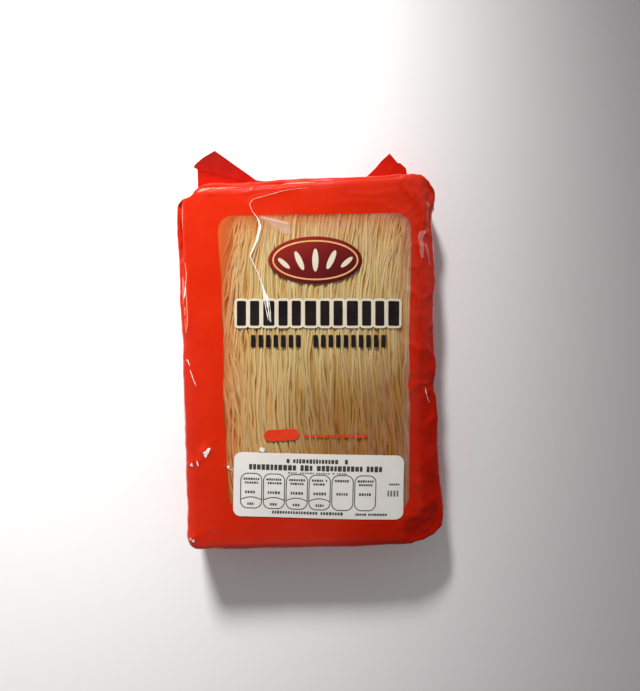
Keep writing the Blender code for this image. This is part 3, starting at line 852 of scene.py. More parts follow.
# Where strands part and show the ones below, painted darker there as shade: (x, y, half length, half width, lean)
PARTINGS = [
    (-43.0, 74.9, 7.7, 0.71, 0.35), (-45.3, 60.8, 8.8, 0.59, 0.22), (-48.3, 38.5, 10.0, 0.65, 0.05), (-38.5, 12.9, 6.5, 0.89, -0.05), (-47.5, 7.9, 10.0, 0.65, -0.06),
    (-32.2, -9.7, 4.7, 0.41, -0.20), (-34.3, -2.5, 4.1, 0.35, -0.10), (-42.0, -22.9, 6.5, 0.47, -0.30), (-35.8, -32.5, 5.3, 0.41, -0.30), (-44.9, -41.7, 7.1, 0.47, -0.25),
    (-46.9, -29.2, 5.9, 0.53, -0.30), (13.0, 79.0, 5.3, 0.65, 0.10), (25.9, 76.3, 5.9, 0.71, 0.25), (20.2, 82.3, 4.1, 0.47, -0.20), (50.9, 84.3, 4.1, 0.35, -0.30),
    (56.5, 74.1, 7.7, 0.53, -0.25), (33.3, 49.5, 5.9, 0.47, 0.05), (43.6, 75.7, 4.7, 0.41, 0.10), (48.9, 56.7, 5.3, 0.35, 0.15), (40.9, 64.6, 4.7, 0.35, 0.12),
    (44.8, 39.2, 4.1, 0.41, 0.10), (37.8, 42.9, 4.7, 0.38, 0.10), (53.2, 43.6, 5.9, 0.41, 0.18), (12.9, 0.1, 5.3, 0.47, 0.10), (38.8, 0.5, 4.7, 0.41, 0.08),
    (48.3, 2.5, 4.1, 0.38, -0.00), (55.3, -1.2, 4.7, 0.47, -0.00), (44.8, -17.4, 6.5, 0.53, -0.05), (25.2, -20.3, 4.1, 0.53, -0.10), (20.4, -6.0, 4.1, 0.35, -0.05),
    (-0.6, -35.4, 4.1, 0.44, -0.15), (14.0, -38.8, 4.7, 0.41, -0.10), (20.1, -52.5, 4.7, 0.44, -0.30), (26.0, -51.6, 4.1, 0.38, -0.35), (36.0, -51.9, 4.1, 0.38, -0.35),
    (31.8, -34.7, 6.5, 0.44, -0.10), (49.3, -41.1, 6.5, 0.38, -0.12), (43.1, -50.3, 4.7, 0.38, -0.25), (-13.4, -49.1, 4.1, 0.47, -0.25), (-1.7, -52.5, 4.1, 0.35, -0.30),
    (-20.8, -24.2, 4.7, 0.41, -0.10), (-12.2, -12.7, 4.1, 0.35, -0.05), (-26.2, -44.6, 4.1, 0.41, -0.20), (-6.0, -19.3, 4.7, 0.38, -0.00), (5.1, -25.0, 4.7, 0.47, -0.05),
    (-4.0, 43.0, 4.1, 0.35, -0.00), (-13.9, 45.7, 4.1, 0.35, 0.05), (6.0, 41.5, 4.1, 0.41, -0.00), (15.4, 42.4, 3.5, 0.35, -0.00), (-3.3, 83.1, 3.5, 0.29, -0.00),
    (-14.2, 74.0, 4.1, 0.29, 0.10), (-36.3, 46.4, 5.9, 0.41, 0.20), (-40.5, 25.3, 5.9, 0.47, 0.05), (-31.1, 22.7, 3.5, 0.35, -0.00), (-23.4, 7.1, 4.1, 0.29, -0.00),
    (-15.3, 1.0, 4.1, 0.29, -0.05), (1.3, 4.6, 3.5, 0.32, 0.05), (29.8, 12.5, 4.1, 0.35, 0.05), (52.3, 17.7, 5.9, 0.38, 0.05), (-43.1, -58.2, 5.9, 0.44, -0.20),
    (-48.1, -67.5, 6.5, 0.47, -0.15),
]


def parted(x, y):
    for gx, gy, half_length, half_width, lean in PARTINGS:
        along_it = np.clip(1 - ((y - gy) / (1.25 * half_length)) ** 2, 0, None)
        away = x - gx - lean * (y - gy)
        x = x + 1.25 * half_width * np.tanh(away / 0.45) * np.exp(-np.abs(away) / 3.5) * along_it**1.3
    return x


# painted shade in the partings, 0 to 1
def parting_shade(x, y):
    gap_shade = np.zeros_like(x)
    for gx, gy, half_length, half_width, lean in PARTINGS:
        along_it = np.clip(1 - ((y - gy) / (1.1 * half_length)) ** 2, 0, None)
        away = x - gx - lean * (y - gy)
        gap_shade = np.maximum(gap_shade, np.exp(-((away / (1.5 * half_width + 0.15)) ** 2)) * along_it**0.7)
    return gap_shade


def tubes(name, paths, radii, tones, gap_shades, warms, material, sides=6):
    """Closed tubes along paths (strand, point, 3)."""
    count, steps, _ = paths.shape
    tangent = np.gradient(paths, axis=1)
    tangent /= np.linalg.norm(tangent, axis=2)[..., None]
    side = np.cross(tangent, np.array([0.0, 0.0, 1.0]))
    side /= np.linalg.norm(side, axis=2)[..., None]
    up = np.cross(side, tangent)
    angles = np.arange(sides) * 2 * math.pi / sides
    rings = paths[:, :, None, :] + radii[:, :, None, None] * (
        np.cos(angles)[None, None, :, None] * side[:, :, None, :] + np.sin(angles)[None, None, :, None] * up[:, :, None, :])
    points = rings.reshape(-1, 3)
    strand, along_, around = np.meshgrid(np.arange(count), np.arange(steps - 1), np.arange(sides), indexing="ij")
    base = (strand * steps + along_) * sides
    nxt = (around + 1) % sides
    quads = np.stack([base + around, base + nxt, base + sides + nxt, base + sides + around], -1).reshape(-1, 4)
    caps = []
    for k in range(count):
        first = k * steps * sides
        last = first + (steps - 1) * sides
        caps.append(np.arange(first, first + sides)[::-1])
        caps.append(np.arange(last, last + sides))
    # strips side by side in the bake's map
    width = 1.0 / count
    u0 = (along_ / (steps - 1)).reshape(-1)
    u1 = ((along_ + 1) / (steps - 1)).reshape(-1)
    v0 = (strand + 0.08 + 0.84 * around / sides).reshape(-1) * width
    v1 = (strand + 0.08 + 0.84 * (around + 1) / sides).reshape(-1) * width
    wall = np.stack([np.stack([u0, v0], 1), np.stack([u0, v1], 1), np.stack([u1, v1], 1), np.stack([u1, v0], 1)], 1).reshape(-1, 2)
    ends = np.concatenate([np.tile([[0.0 if e == 0 else 1.0, (k + 0.5) * width]], (sides, 1)) for k in range(count) for e in (0, 1)])
    uv = np.concatenate([wall, ends])
    # painted shade: each strand darker on its sides and underside than along its top, where the gaps between strands
    # lie
    flank = np.where(np.sin(angles) > 0.5, 0.0, 0.50)
    gap_shades = np.clip(gap_shades[:, :, None] + flank, 0, 1)
    attributes = {"tone": np.repeat(tones.reshape(-1), sides), "gap_shade": gap_shades.reshape(-1), "warm": np.repeat(warms.reshape(-1), sides),
                  "painted_shadow": np.repeat(painted_shadow_at(paths[..., 0], paths[..., 1]).reshape(-1), sides)}
    return mesh_object(name, points, list(quads) + caps, material, attributes, uv=uv, own_uv=True)


def make_noodles():
    """Layers of strands. A few strands keep together as a bundle, and bundles drift apart and cross."""
    rng = np.random.default_rng(41)
    reach, steps = 99.0, 120
    t = np.linspace(-1, 1, steps)
    for layer, (gap, sink, thick) in enumerate([(1.38, 0.0, 0.82), (1.30, 0.38, 0.78)]):
        starts, group = [], []
        at, k = -51.5, 0
        while at < 70.0:
            for _ in range(rng.integers(2, 6)):
                starts.append(at + rng.uniform(-0.2, 0.2))
                group.append(k)
                at += gap * rng.uniform(0.85, 1.1) * (1.0 + (0.9 - 0.5 * layer) * float(smooth(-40.0, -48.0, at)))
            at += rng.uniform(-0.4, 0.5)
            k += 1
        starts, group = np.array(starts), np.array(group)
        n = len(starts)
        y = t[None, :] * (reach - rng.uniform(0, 5, n))[:, None]
        s = np.repeat(starts[:, None], steps, 1)

        def wander(key, wave, seed):
            place = np.stack([np.repeat(key[:, None], steps, 1).ravel(), y.ravel(), np.zeros(n * steps)], 1)
            return noise3(place, (1.0, wave, 1.0), seed + 3 * layer).reshape(n, steps)

        bundle_key = rng.uniform(0, 900, k + 1)[group]
        own_key = rng.uniform(0, 900, n)
        x = s + flow(s.ravel(), y.ravel(), 0.5 * layer).reshape(n, steps)
        loose = 1.0 + 1.1 * smooth(-34.0, -52.0, s)
        x = x + 2.2 * wander(bundle_key, 50.0, 61) + 1.7 * loose * wander(own_key, 36.0, 62) + 0.75 * loose * wander(own_key + 50, 13.0, 63)
        x = np.clip(parted(x, y), -64.5, 63.5)
        bob = 0.6 * wander(bundle_key + 20, 46.0, 64) + 0.7 * wander(own_key + 90, 34.0, 65)
        radius = thick * rng.uniform(0.86, 1.14, n)
        z = front_height(x.ravel(), y.ravel()).reshape(n, steps)
        z = z - 0.42 - radius[:, None] - sink - 0.80 * np.clip(bob + 0.30, 0, 1.2) - 0.7 * smooth(51.5, 54.5, x) - 0.9 * smooth(59.0, 63.0, x)
        radii = radius[:, None] * (1 + 0.08 * wander(own_key + 130, 25.0, 66))
        patch = noise3(np.stack([x.ravel(), y.ravel(), np.zeros(n * steps)], 1), (8.0, 40.0, 1.0), 70).reshape(n, steps)
        # tone varies by strand, bundle and patch; the last term is painted light, paler towards the top
        tones = 0.56 + rng.normal(0, 0.08, n)[:, None] + 0.10 * rng.normal(0, 1, k + 1)[group][:, None] + 0.12 * bob + 0.28 * patch + 0.12 * smooth(20, 80, y)
        # painted shade: darker where strands sink lower, on the second layer and in the partings
        gap_shades = 0.08 * layer + 0.42 * np.clip(bob + 0.1, 0, 1) + 0.80 * parting_shade(x, y)
        # painted light and shade: redder beside the printed border, where red light falls on the strands, and browner
        # low on the right
        warms = painted_warmth(x, y)
        paths = np.stack([x, y, z], 2)
        piece = tubes(f"noodle_strands_{layer + 1}", paths, radii, np.clip(tones, 0, 1), gap_shades, warms, NOODLE)

    # loose strands that lie across the others, most of them at the left
    starts = np.concatenate([np.linspace(-51, -36, 14), np.linspace(-33, 62, 26)]) + rng.uniform(-1.2, 1.2, 40)
    n = len(starts)
    y = t[None, :] * (reach - rng.uniform(0, 5, n))[:, None]
    s = np.repeat(starts[:, None], steps, 1)

    def stray(wave, seed):
        place = np.stack([np.repeat(rng.uniform(0, 900, n)[:, None], steps, 1).ravel(), y.ravel(), np.zeros(n * steps)], 1)
        return noise3(place, (1.0, wave, 1.0), seed).reshape(n, steps)

    wild = 1.0 + 1.1 * smooth(-30.0, -42.0, s)
    x = s + 0.8 * flow(s.ravel(), y.ravel(), 0.0).reshape(n, steps) + rng.normal(0, 0.035, n)[:, None] * y
    x = np.clip(parted(x + wild * (2.8 * stray(56.0, 81) + 1.0 * stray(21.0, 82)), y), -64.0, 62.5)
    radius = rng.uniform(0.70, 0.88, n)
    z = front_height(x.ravel(), y.ravel()).reshape(n, steps) - 0.14 - radius[:, None] - 0.45 * np.clip(stray(30.0, 83) + 0.2, 0, 1) - 0.9 * smooth(51.5, 54.5, x) - 0.9 * smooth(59.0, 62.5, x)
    tones = 0.74 + rng.normal(0, 0.12, n)[:, None] + 0.15 * stray(40.0, 84)
    # the loose strands get painted shade in the partings and painted warmth
    piece = tubes("noodle_strands_3", np.stack([x, y, z], 2), np.repeat(radius[:, None], steps, 1), np.clip(tones, 0, 1), 0.45 * parting_shade(x, y), painted_warmth(x, y), NOODLE)


def painted_warmth(x, y):
    """Painted light and shade: red light from the printed border on the strands, and browner shade low on the right."""
    w = 0.70 * smooth(-18, -52, x) + 0.40 * smooth(48, 86, y) + 0.35 * smooth(30, 62, x)
    return np.clip(w + 0.55 * smooth(5, -60, y) * smooth(-30, 50, x) + 0.30 * smooth(5, -60, y), 0, 1)


def painted_shadow_at(x, y):
    """Painted shadow: the strands darken towards the lower right."""
    return np.clip(smooth(-32, 10, x) * smooth(14, -32, y) + 0.35 * smooth(25, 55, x) * smooth(40, 0, y), 0, 1)


def make_core():
    """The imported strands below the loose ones: a ribbed block."""
    columns, rows = 210, 84
    a, b = np.meshgrid(np.linspace(-65.0, 64.5, columns + 1), np.linspace(-100.0, 100.0, rows + 1))
    xy = np.stack([a.ravel(), b.ravel()], 1)
    s = xy[:, 0] - flow(xy[:, 0], xy[:, 1], 0.25)
    ribs = noise3(np.stack([s, xy[:, 1], np.zeros(len(xy))], 1), (1.5, 60.0, 1.0), 44)
    broad = noise3(np.stack([s, xy[:, 1], np.zeros(len(xy))], 1), (5.0, 40.0, 1.0), 45)
    top_z = front_height(xy[:, 0], xy[:, 1]) - 1.45 + 0.35 * ribs + 0.30 * broad - 1.0 * smooth(58.0, 62.0, xy[:, 0])
    low = np.concatenate([xy, np.full((len(xy), 1), 3.0)], 1)
    high = np.concatenate([xy, top_z[:, None]], 1)
    points, faces = closed_sheet(columns, rows, low, high)
    # painted shade: darker in the rib valleys and partings, and on the hidden underside
    gap_shade = np.concatenate([np.ones(len(xy)), np.clip(0.60 - 0.5 * ribs + 0.6 * parting_shade(xy[:, 0], xy[:, 1]), 0, 1)])
    warm = np.tile(np.clip(painted_warmth(xy[:, 0], xy[:, 1]) + 0.25, 0, 1), 2)
    obj = mesh_object("noodle_core", points, faces, NOODLE, {"tone": np.full(len(points), 0.45), "gap_shade": gap_shade, "warm": warm, "painted_shadow": painted_shadow_at(points[:, 0], points[:, 1])}, smooth_angle=60)
    return obj


# ---- folded ends and ears ------------------------------------------------------
def closed_sheet(columns, rows, lower, upper):
    quads = flat_grid(0, columns, 0, rows, 1.0)[1]
    rim = list(range(columns + 1)) + [j * (columns + 1) + columns for j in range(1, rows + 1)]
    rim += [rows * (columns + 1) + i for i in range(columns - 1, -1, -1)] + [j * (columns + 1) for j in range(rows - 1, 0, -1)]
    faces = list(quads + len(lower)) + list(quads[:, ::-1])
    for a, b in zip(rim, rim[1:] + rim[:1]):
        faces.append(np.array([a, b, b + len(lower), a + len(lower)]))
    return np.concatenate([lower, upper]), faces


def make_seal(name, end):
    """The crimped seal of one end, turned down over the lower half of the end wall."""
    columns, rows = 340, 18
    a, b = np.meshgrid(np.linspace(-SEAL_REACH, SEAL_REACH, columns + 1), np.linspace(0, 1, rows + 1))
    a, b = a.ravel(), b.ravel()
    z = SEAM_Z + 0.8 - FIN * b
    face = "+y" if end > 0 else "-y"
    on, n = film(face, a, z)
    ribs = 0.16 * np.sin(a * 2 * math.pi / 1.55) * smooth(0.05, 0.15, b) * (1 - smooth(0.9, 0.98, b))
    loose = 0.5 + 1.1 * b**2 * (1 + 0.6 * np.sin(a / 9.0 + end) + 0.3 * np.sin(a / 3.7)) + 0.3 * np.sin(b * math.pi)
    mid = on + n * (loose + ribs)[:, None]
    lower, upper = mid - n * 0.12, mid + n * 0.12
    points, faces = closed_sheet(columns, rows, lower, upper)
    if end > 0:
        faces = [f for f in faces]
    return mesh_object(name, points, faces, FILM, smooth_angle=60)


def polygon(points):
    points = [np.array(p, float) for p in points]

    def distance(xy):
        best = np.full(len(xy), 1e9)
        inside = np.zeros(len(xy), bool)
        for a, b in zip(points, points[1:] + points[:1]):
            d = b - a
            t = np.clip(((xy - a) @ d) / (d @ d), 0, 1)
            best = np.minimum(best, np.linalg.norm(xy - a - t[:, None] * d, axis=1))
            crosses = ((a[1] <= xy[:, 1]) != (b[1] <= xy[:, 1])) & (
                xy[:, 0] < a[0] + (xy[:, 1] - a[1]) * d[0] / (d[1] if abs(d[1]) > 1e-9 else 1e-9))
            inside ^= crosses
        return np.where(inside, -best, best)

    box = np.array(points)
    return distance, (box[:, 0].min(), box[:, 1].min(), box[:, 0].max(), box[:, 1].max())


def make_ear(name, corners, height, step=0.55, thick=0.28, material=None):
    """A flat double flap of film. height(x, y) is its middle surface."""
    distance, box = polygon(corners)
    xy, flat = shape(distance, box, step)
    z = height(xy[:, 0], xy[:, 1])
    high = np.stack([xy[:, 0], xy[:, 1], z + thick / 2], 1)
    low = np.stack([xy[:, 0], xy[:, 1], z - thick / 2], 1)
    faces = [f for f in flat] + [(f + len(xy))[::-1] for f in flat]
    edges = {}
    for f in flat:
        for a, b in zip(f, np.roll(f, -1)):
            edges[(a, b)] = True
    for a, b in edges:
        if (b, a) not in edges:
            faces.append(np.array([a, a + len(xy), b + len(xy), b]))
    # painted shade: darker on one side of the left ear's fold line and towards the root of the flap
    fold, side, _ = along([(-68.5, 122.0), (-27.0, 110.5)], xy)
    shade = np.where(side > 0, 0.0, 0.55 * np.exp(-fold / 1.2)) + 0.45 * smooth(114.0, 109.0, xy[:, 1])
    return mesh_object(name, np.concatenate([high, low]), faces, material or FOLDED, {"shade": np.clip(np.tile(shade, 2), 0, 1)}, smooth_angle=50)


def left_ear(x, y):
    p = np.stack([x, y, np.zeros_like(x)], 1)
    fold, side, _ = along([(-68.5, 122.0), (-27.0, 110.5)], p[:, :2])
    z = SEAM_Z + 1.5 + 0.08 * (y - 104.0) + 0.03 * (x + 54.7)
    z = z + np.where(side > 0, 0.36, -0.10) * fold + 0.3 * np.exp(-fold / 0.8)
    crimp = smooth(112.5, 109.0, y)
    z = z + crimp * (0.40 * np.sin(x * 2 * math.pi / 2.3 + 0.8 * np.sin(y)) + 0.55 * noise3(p, 2.2, 50))
    return z + 0.35 * noise3(p, (9.0, 9.0, 9.0), 51)


def right_ear(x, y):
    p = np.stack([x, y, np.zeros_like(x)], 1)
    fold, side, _ = along([(57.8, 121.5), (44.5, 106.0)], p[:, :2])
    z = SEAM_Z + 1.5 + 0.17 * (y - 104.0) + 0.04 * (x - 52.2)
    z = z + 0.25 * np.exp(-fold / 0.7) + np.where(side > 0, 0.12, -0.12) * fold
    return z + 0.3 * noise3(p, (8.0, 8.0, 8.0), 52)


# ---- the sticker and the print -------------------------------------------------
def label_bar(a, b, w, h, radius=0.2):
    """A bar at (a, b) on the sticker, whose middle is (0, 0)."""
    c, s = math.cos(LABEL_TURN), math.sin(LABEL_TURN)
    return bar(LABEL_X + a * c - b * s, LABEL_Y + a * s + b * c, w, h, radius, LABEL_TURN)


def make_sticker():
    plate = bar(LABEL_X, LABEL_Y, LABEL_W, LABEL_H, LABEL_R, LABEL_TURN)
    obj = on_film("sticker", [plate], PAPER, lift=0.34, step=0.8, thick=0.2)
    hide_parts("label")
    rng = np.random.default_rng(5)

    def words(a0, a1, b, h, gap=0.55, lo=0.8, hi=1.6, blank=0.12):
        """A line of unreadable print: small upright blocks in groups."""
        out, a = [], a0
        while a < a1:
            w = rng.uniform(lo, hi)
            if rng.uniform() > blank:
                out.append(label_bar(a + w / 2, b, w, h * rng.uniform(0.82, 1.0), 0.12))
            else:
                w *= 0.8
            a += w + gap
        return out

    dark, grey = [], []
    dark += words(-19, 17, 14.6, 2.7, gap=0.5, lo=1.1, hi=1.9)
    dark += words(-41, 36, 10.6, 3.5, gap=0.55, lo=1.5, hi=2.4, blank=0.1)
    grey += words(-18, 16, 7.6, 1.0, gap=0.4, lo=0.7, hi=1.3)
    dark += words(-27, 14, -16.0, 1.9, gap=0.45, lo=0.9, hi=1.5)
    dark += words(22, 40, -16.2, 1.5, gap=0.3, lo=0.8, hi=1.4)
    lines = []
    for k in range(6):
        centre = -39.5 + 13.4 * k
        lines.append((cell_line(centre, -3.6, 12.4, 20.6, 4.0), True))
        dark += words(centre - 4.6, centre + 4.0, 3.4, 1.5, gap=0.35, lo=0.8, hi=1.3, blank=0.03)
        if k != 4:
            dark += words(centre - 3.8, centre + 3.2, 1.2, 1.4, gap=0.35, lo=0.8, hi=1.3, blank=0.03)
        dark += words(centre - 3.6, centre + 3.2, -4.4, 1.8, gap=0.45, lo=0.8, hi=1.3, blank=0.05)
        if k < 4:
            dark += words(centre - 2.2, centre + 1.8, -11.4, 1.7, gap=0.4, lo=0.8, hi=1.2, blank=0.0)
            a = np.linspace(-6.0, 6.0, 15)
            lines.append((label_point(centre + a, -8.9 + 1.6 * (1 - (a / 6.0) ** 2)), False))
    dark += words(41.5, 47.0, 1.8, 1.2, gap=0.3, lo=0.8, hi=1.2, blank=0.0)
    grey += words(40.6, 47.6, -3.6, 4.2, gap=0.7, lo=0.8, hi=1.2, blank=0.0)
    black = on_film("sticker_print_black", dark, LABEL_BLACK, lift=0.37, step=0.5)
    pale = on_film("sticker_print_grey", grey, LABEL_GREY, lift=0.37, step=0.5)
    cells = strokes("sticker_cells", lines, 0.55, LABEL_BLACK, lift=0.375)


def make_print():
    """Plain generic print: an oval badge, a band of upright bars, a row of narrow bars and a small mark."""
    turn = math.radians(-1.8)
    # badge: an oval with a fine gold line and five grains of rice
    badge = oval(5.0, 60.2, 55.0, 28.0, turn)
    parts = [
        on_film("badge", [badge], INK_MAROON, lift=0.05, step=0.6),
        strokes("badge_line", [(oval_line(5.0, 60.2, 49.6, 22.8, turn), True)], 0.95, INK_GOLD, lift=0.09),
        on_film("badge_grains", [
            oval(5.0, 60.2, 3.6, 13.5, turn + 0.0), oval(-4.4, 60.1, 3.4, 12.0, turn + 0.42), oval(14.4, 60.1, 3.4, 12.0, turn - 0.42),
            oval(-13.5, 58.8, 2.8, 9.0, turn + 0.85), oval(23.4, 58.4, 2.8, 9.0, turn - 0.85)], INK_CREAM, lift=0.09, step=0.35),
    ]
    # heavy band: upright bars with a cream surround
    blocks = []
    x = -42.0
    for k in range(12):
        w = (5.4, 5.4, 6.6)[k % 3]
        cx = x + w / 2
        blocks.append(bar(cx, 28.9 - (cx - 6.5) * math.tan(-turn), w, 14.6, 0.8, turn))
        x += w + 2.35
    surround = [grown(b, 1.45) for b in blocks]
    parts.append(on_film("band_surround", [union(*surround)], INK_CREAM, lift=0.05, step=0.6))
    parts.append(on_film("band_blocks", blocks, INK_BLACK, lift=0.09, step=0.6))
    # second line: narrow bars
    small = []
    for x0, count in ((-34.2, 7), (2.4, 10)):
        for k in range(count):
            cx = x0 + 4.42 * k + 1.3
            small.append(bar(cx, 12.6 - (cx - 6.0) * math.tan(-turn), 2.7, 7.2, 0.4, turn))
    parts.append(on_film("second_line", small, INK_BLACK, lift=0.06, step=0.45))
    # small mark and a thin broken line
    mark = [bar(-18.0, -41.7, 20.5, 6.6, 3.2, turn + 0.05)]
    x = -5.0
    for w in (3.0, 2.2, 3.4, 2.6, 3.0, 2.2, 3.2, 2.4, 3.0, 2.6):
        mark.append(bar(x + w / 2, -43.2 - (x - 6.0) * 0.031, w, 1.8, 0.5, turn))
        x += w + 1.1
    parts.append(on_film("small_mark", mark, INK_RED, lift=0.06, step=0.45))


def strokes(name, lines, width, material, lift, step=0.7):
    """Thin even lines of print over the film: each line is (points, closed)."""
    points, faces, plans, count = [], [], [], 0
    for line, closed in lines:
        line = np.asarray(line, float)
        if closed:
            line = np.concatenate([line, line[:1]])
        lengths = np.concatenate([[0], np.cumsum(np.linalg.norm(np.diff(line, axis=0), axis=1))])
        n = max(3, int(lengths[-1] / step))
        t = np.linspace(0, lengths[-1], n + 1)
        if closed:
            t = t[:-1]
        at = np.stack([np.interp(t, lengths, line[:, k]) for k in (0, 1)], 1)
        d = (np.roll(at, -1, 0) - np.roll(at, 1, 0)) if closed else np.gradient(at, axis=0)
        d /= np.linalg.norm(d, axis=1)[:, None]
        m = np.stack([-d[:, 1], d[:, 0]], 1)
        xy = np.stack([at - m * width / 2, at + m * width / 2], 1).reshape(-1, 2)
        i = np.arange(len(at) if closed else len(at) - 1)
        j = (i + 1) % len(at)
        faces += list(np.stack([2 * i, 2 * j, 2 * j + 1, 2 * i + 1], 1) + count)
        points.append(film("top", xy[:, 0], xy[:, 1], lift)[0])
        plans.append(xy)
        count += len(xy)
    plans = np.concatenate(plans)
    return mesh_object(name, np.concatenate(points), faces, material, uv=(plans + [HX, HY]) / LENGTH)


def oval_line(cx, cy, w, h, turn, n=120):
    a = np.arange(n) * 2 * math.pi / n
    c, s = math.cos(turn), math.sin(turn)
    x, y = w / 2 * np.cos(a), h / 2 * np.sin(a)
    return np.stack([cx + x * c - y * s, cy + x * s + y * c], 1)


def label_point(a, b):
    c, s = math.cos(LABEL_TURN), math.sin(LABEL_TURN)
    a, b = np.asarray(a, float), np.asarray(b, float)
    return np.stack([LABEL_X + a * c - b * s, LABEL_Y + a * s + b * c], -1)


def cell_line(a, b, w, h, radius):
    """The outline of a rounded cell on the sticker."""
    pts = []
    for k, (sx, sy) in enumerate([(1, 1), (-1, 1), (-1, -1), (1, -1)]):
        angles = (k + np.linspace(0, 1, 9)) * math.pi / 2
        pts.append(np.stack([a + sx * (w / 2 - radius) + radius * np.cos(angles), b + sy * (h / 2 - radius) + radius * np.sin(angles)], 1))
    pts = np.concatenate(pts)
    return label_point(pts[:, 0], pts[:, 1])


def ribbon(points, widths, step=0.5, lift=0.13):
    """A narrow strip over the film along a line, with a width given at each of its points."""
    points = np.asarray(points, float)
    lengths = np.concatenate([[0], np.cumsum(np.linalg.norm(np.diff(points, axis=0), axis=1))])
    n = max(4, int(lengths[-1] / step))
    t = np.linspace(0, lengths[-1], n + 1)
    line = np.stack([np.interp(t, lengths, points[:, k]) for k in (0, 1)], 1)
    for _ in range(2):
        line[1:-1] = 0.25 * line[:-2] + 0.5 * line[1:-1] + 0.25 * line[2:]
    p = np.concatenate([line, np.zeros((len(line), 1))], 1)
    half = np.interp(t, lengths, widths) / 2 * (1 + 0.35 * noise3(p, 2.6, 60)) * (1 + 0.2 * noise3(p, 1.1, 61))
    half = np.maximum(half, 0.03)
    d = np.gradient(line, axis=0)
    d /= np.linalg.norm(d, axis=1)[:, None]
    m = np.stack([-d[:, 1], d[:, 0]], 1)
    rows = np.linspace(-1, 1, 5)
    xy = (line[:, None, :] + rows[None, :, None] * half[:, None, None] * m[:, None, :]).reshape(-1, 2)
    q, _ = film("top", xy[:, 0], xy[:, 1], lift)
    i, j = np.meshgrid(np.arange(n), np.arange(4), indexing="ij")
    a = (i * 5 + j).ravel()
    return q, np.stack([a, a + 5, a + 6, a + 1], 1)[:, ::-1]


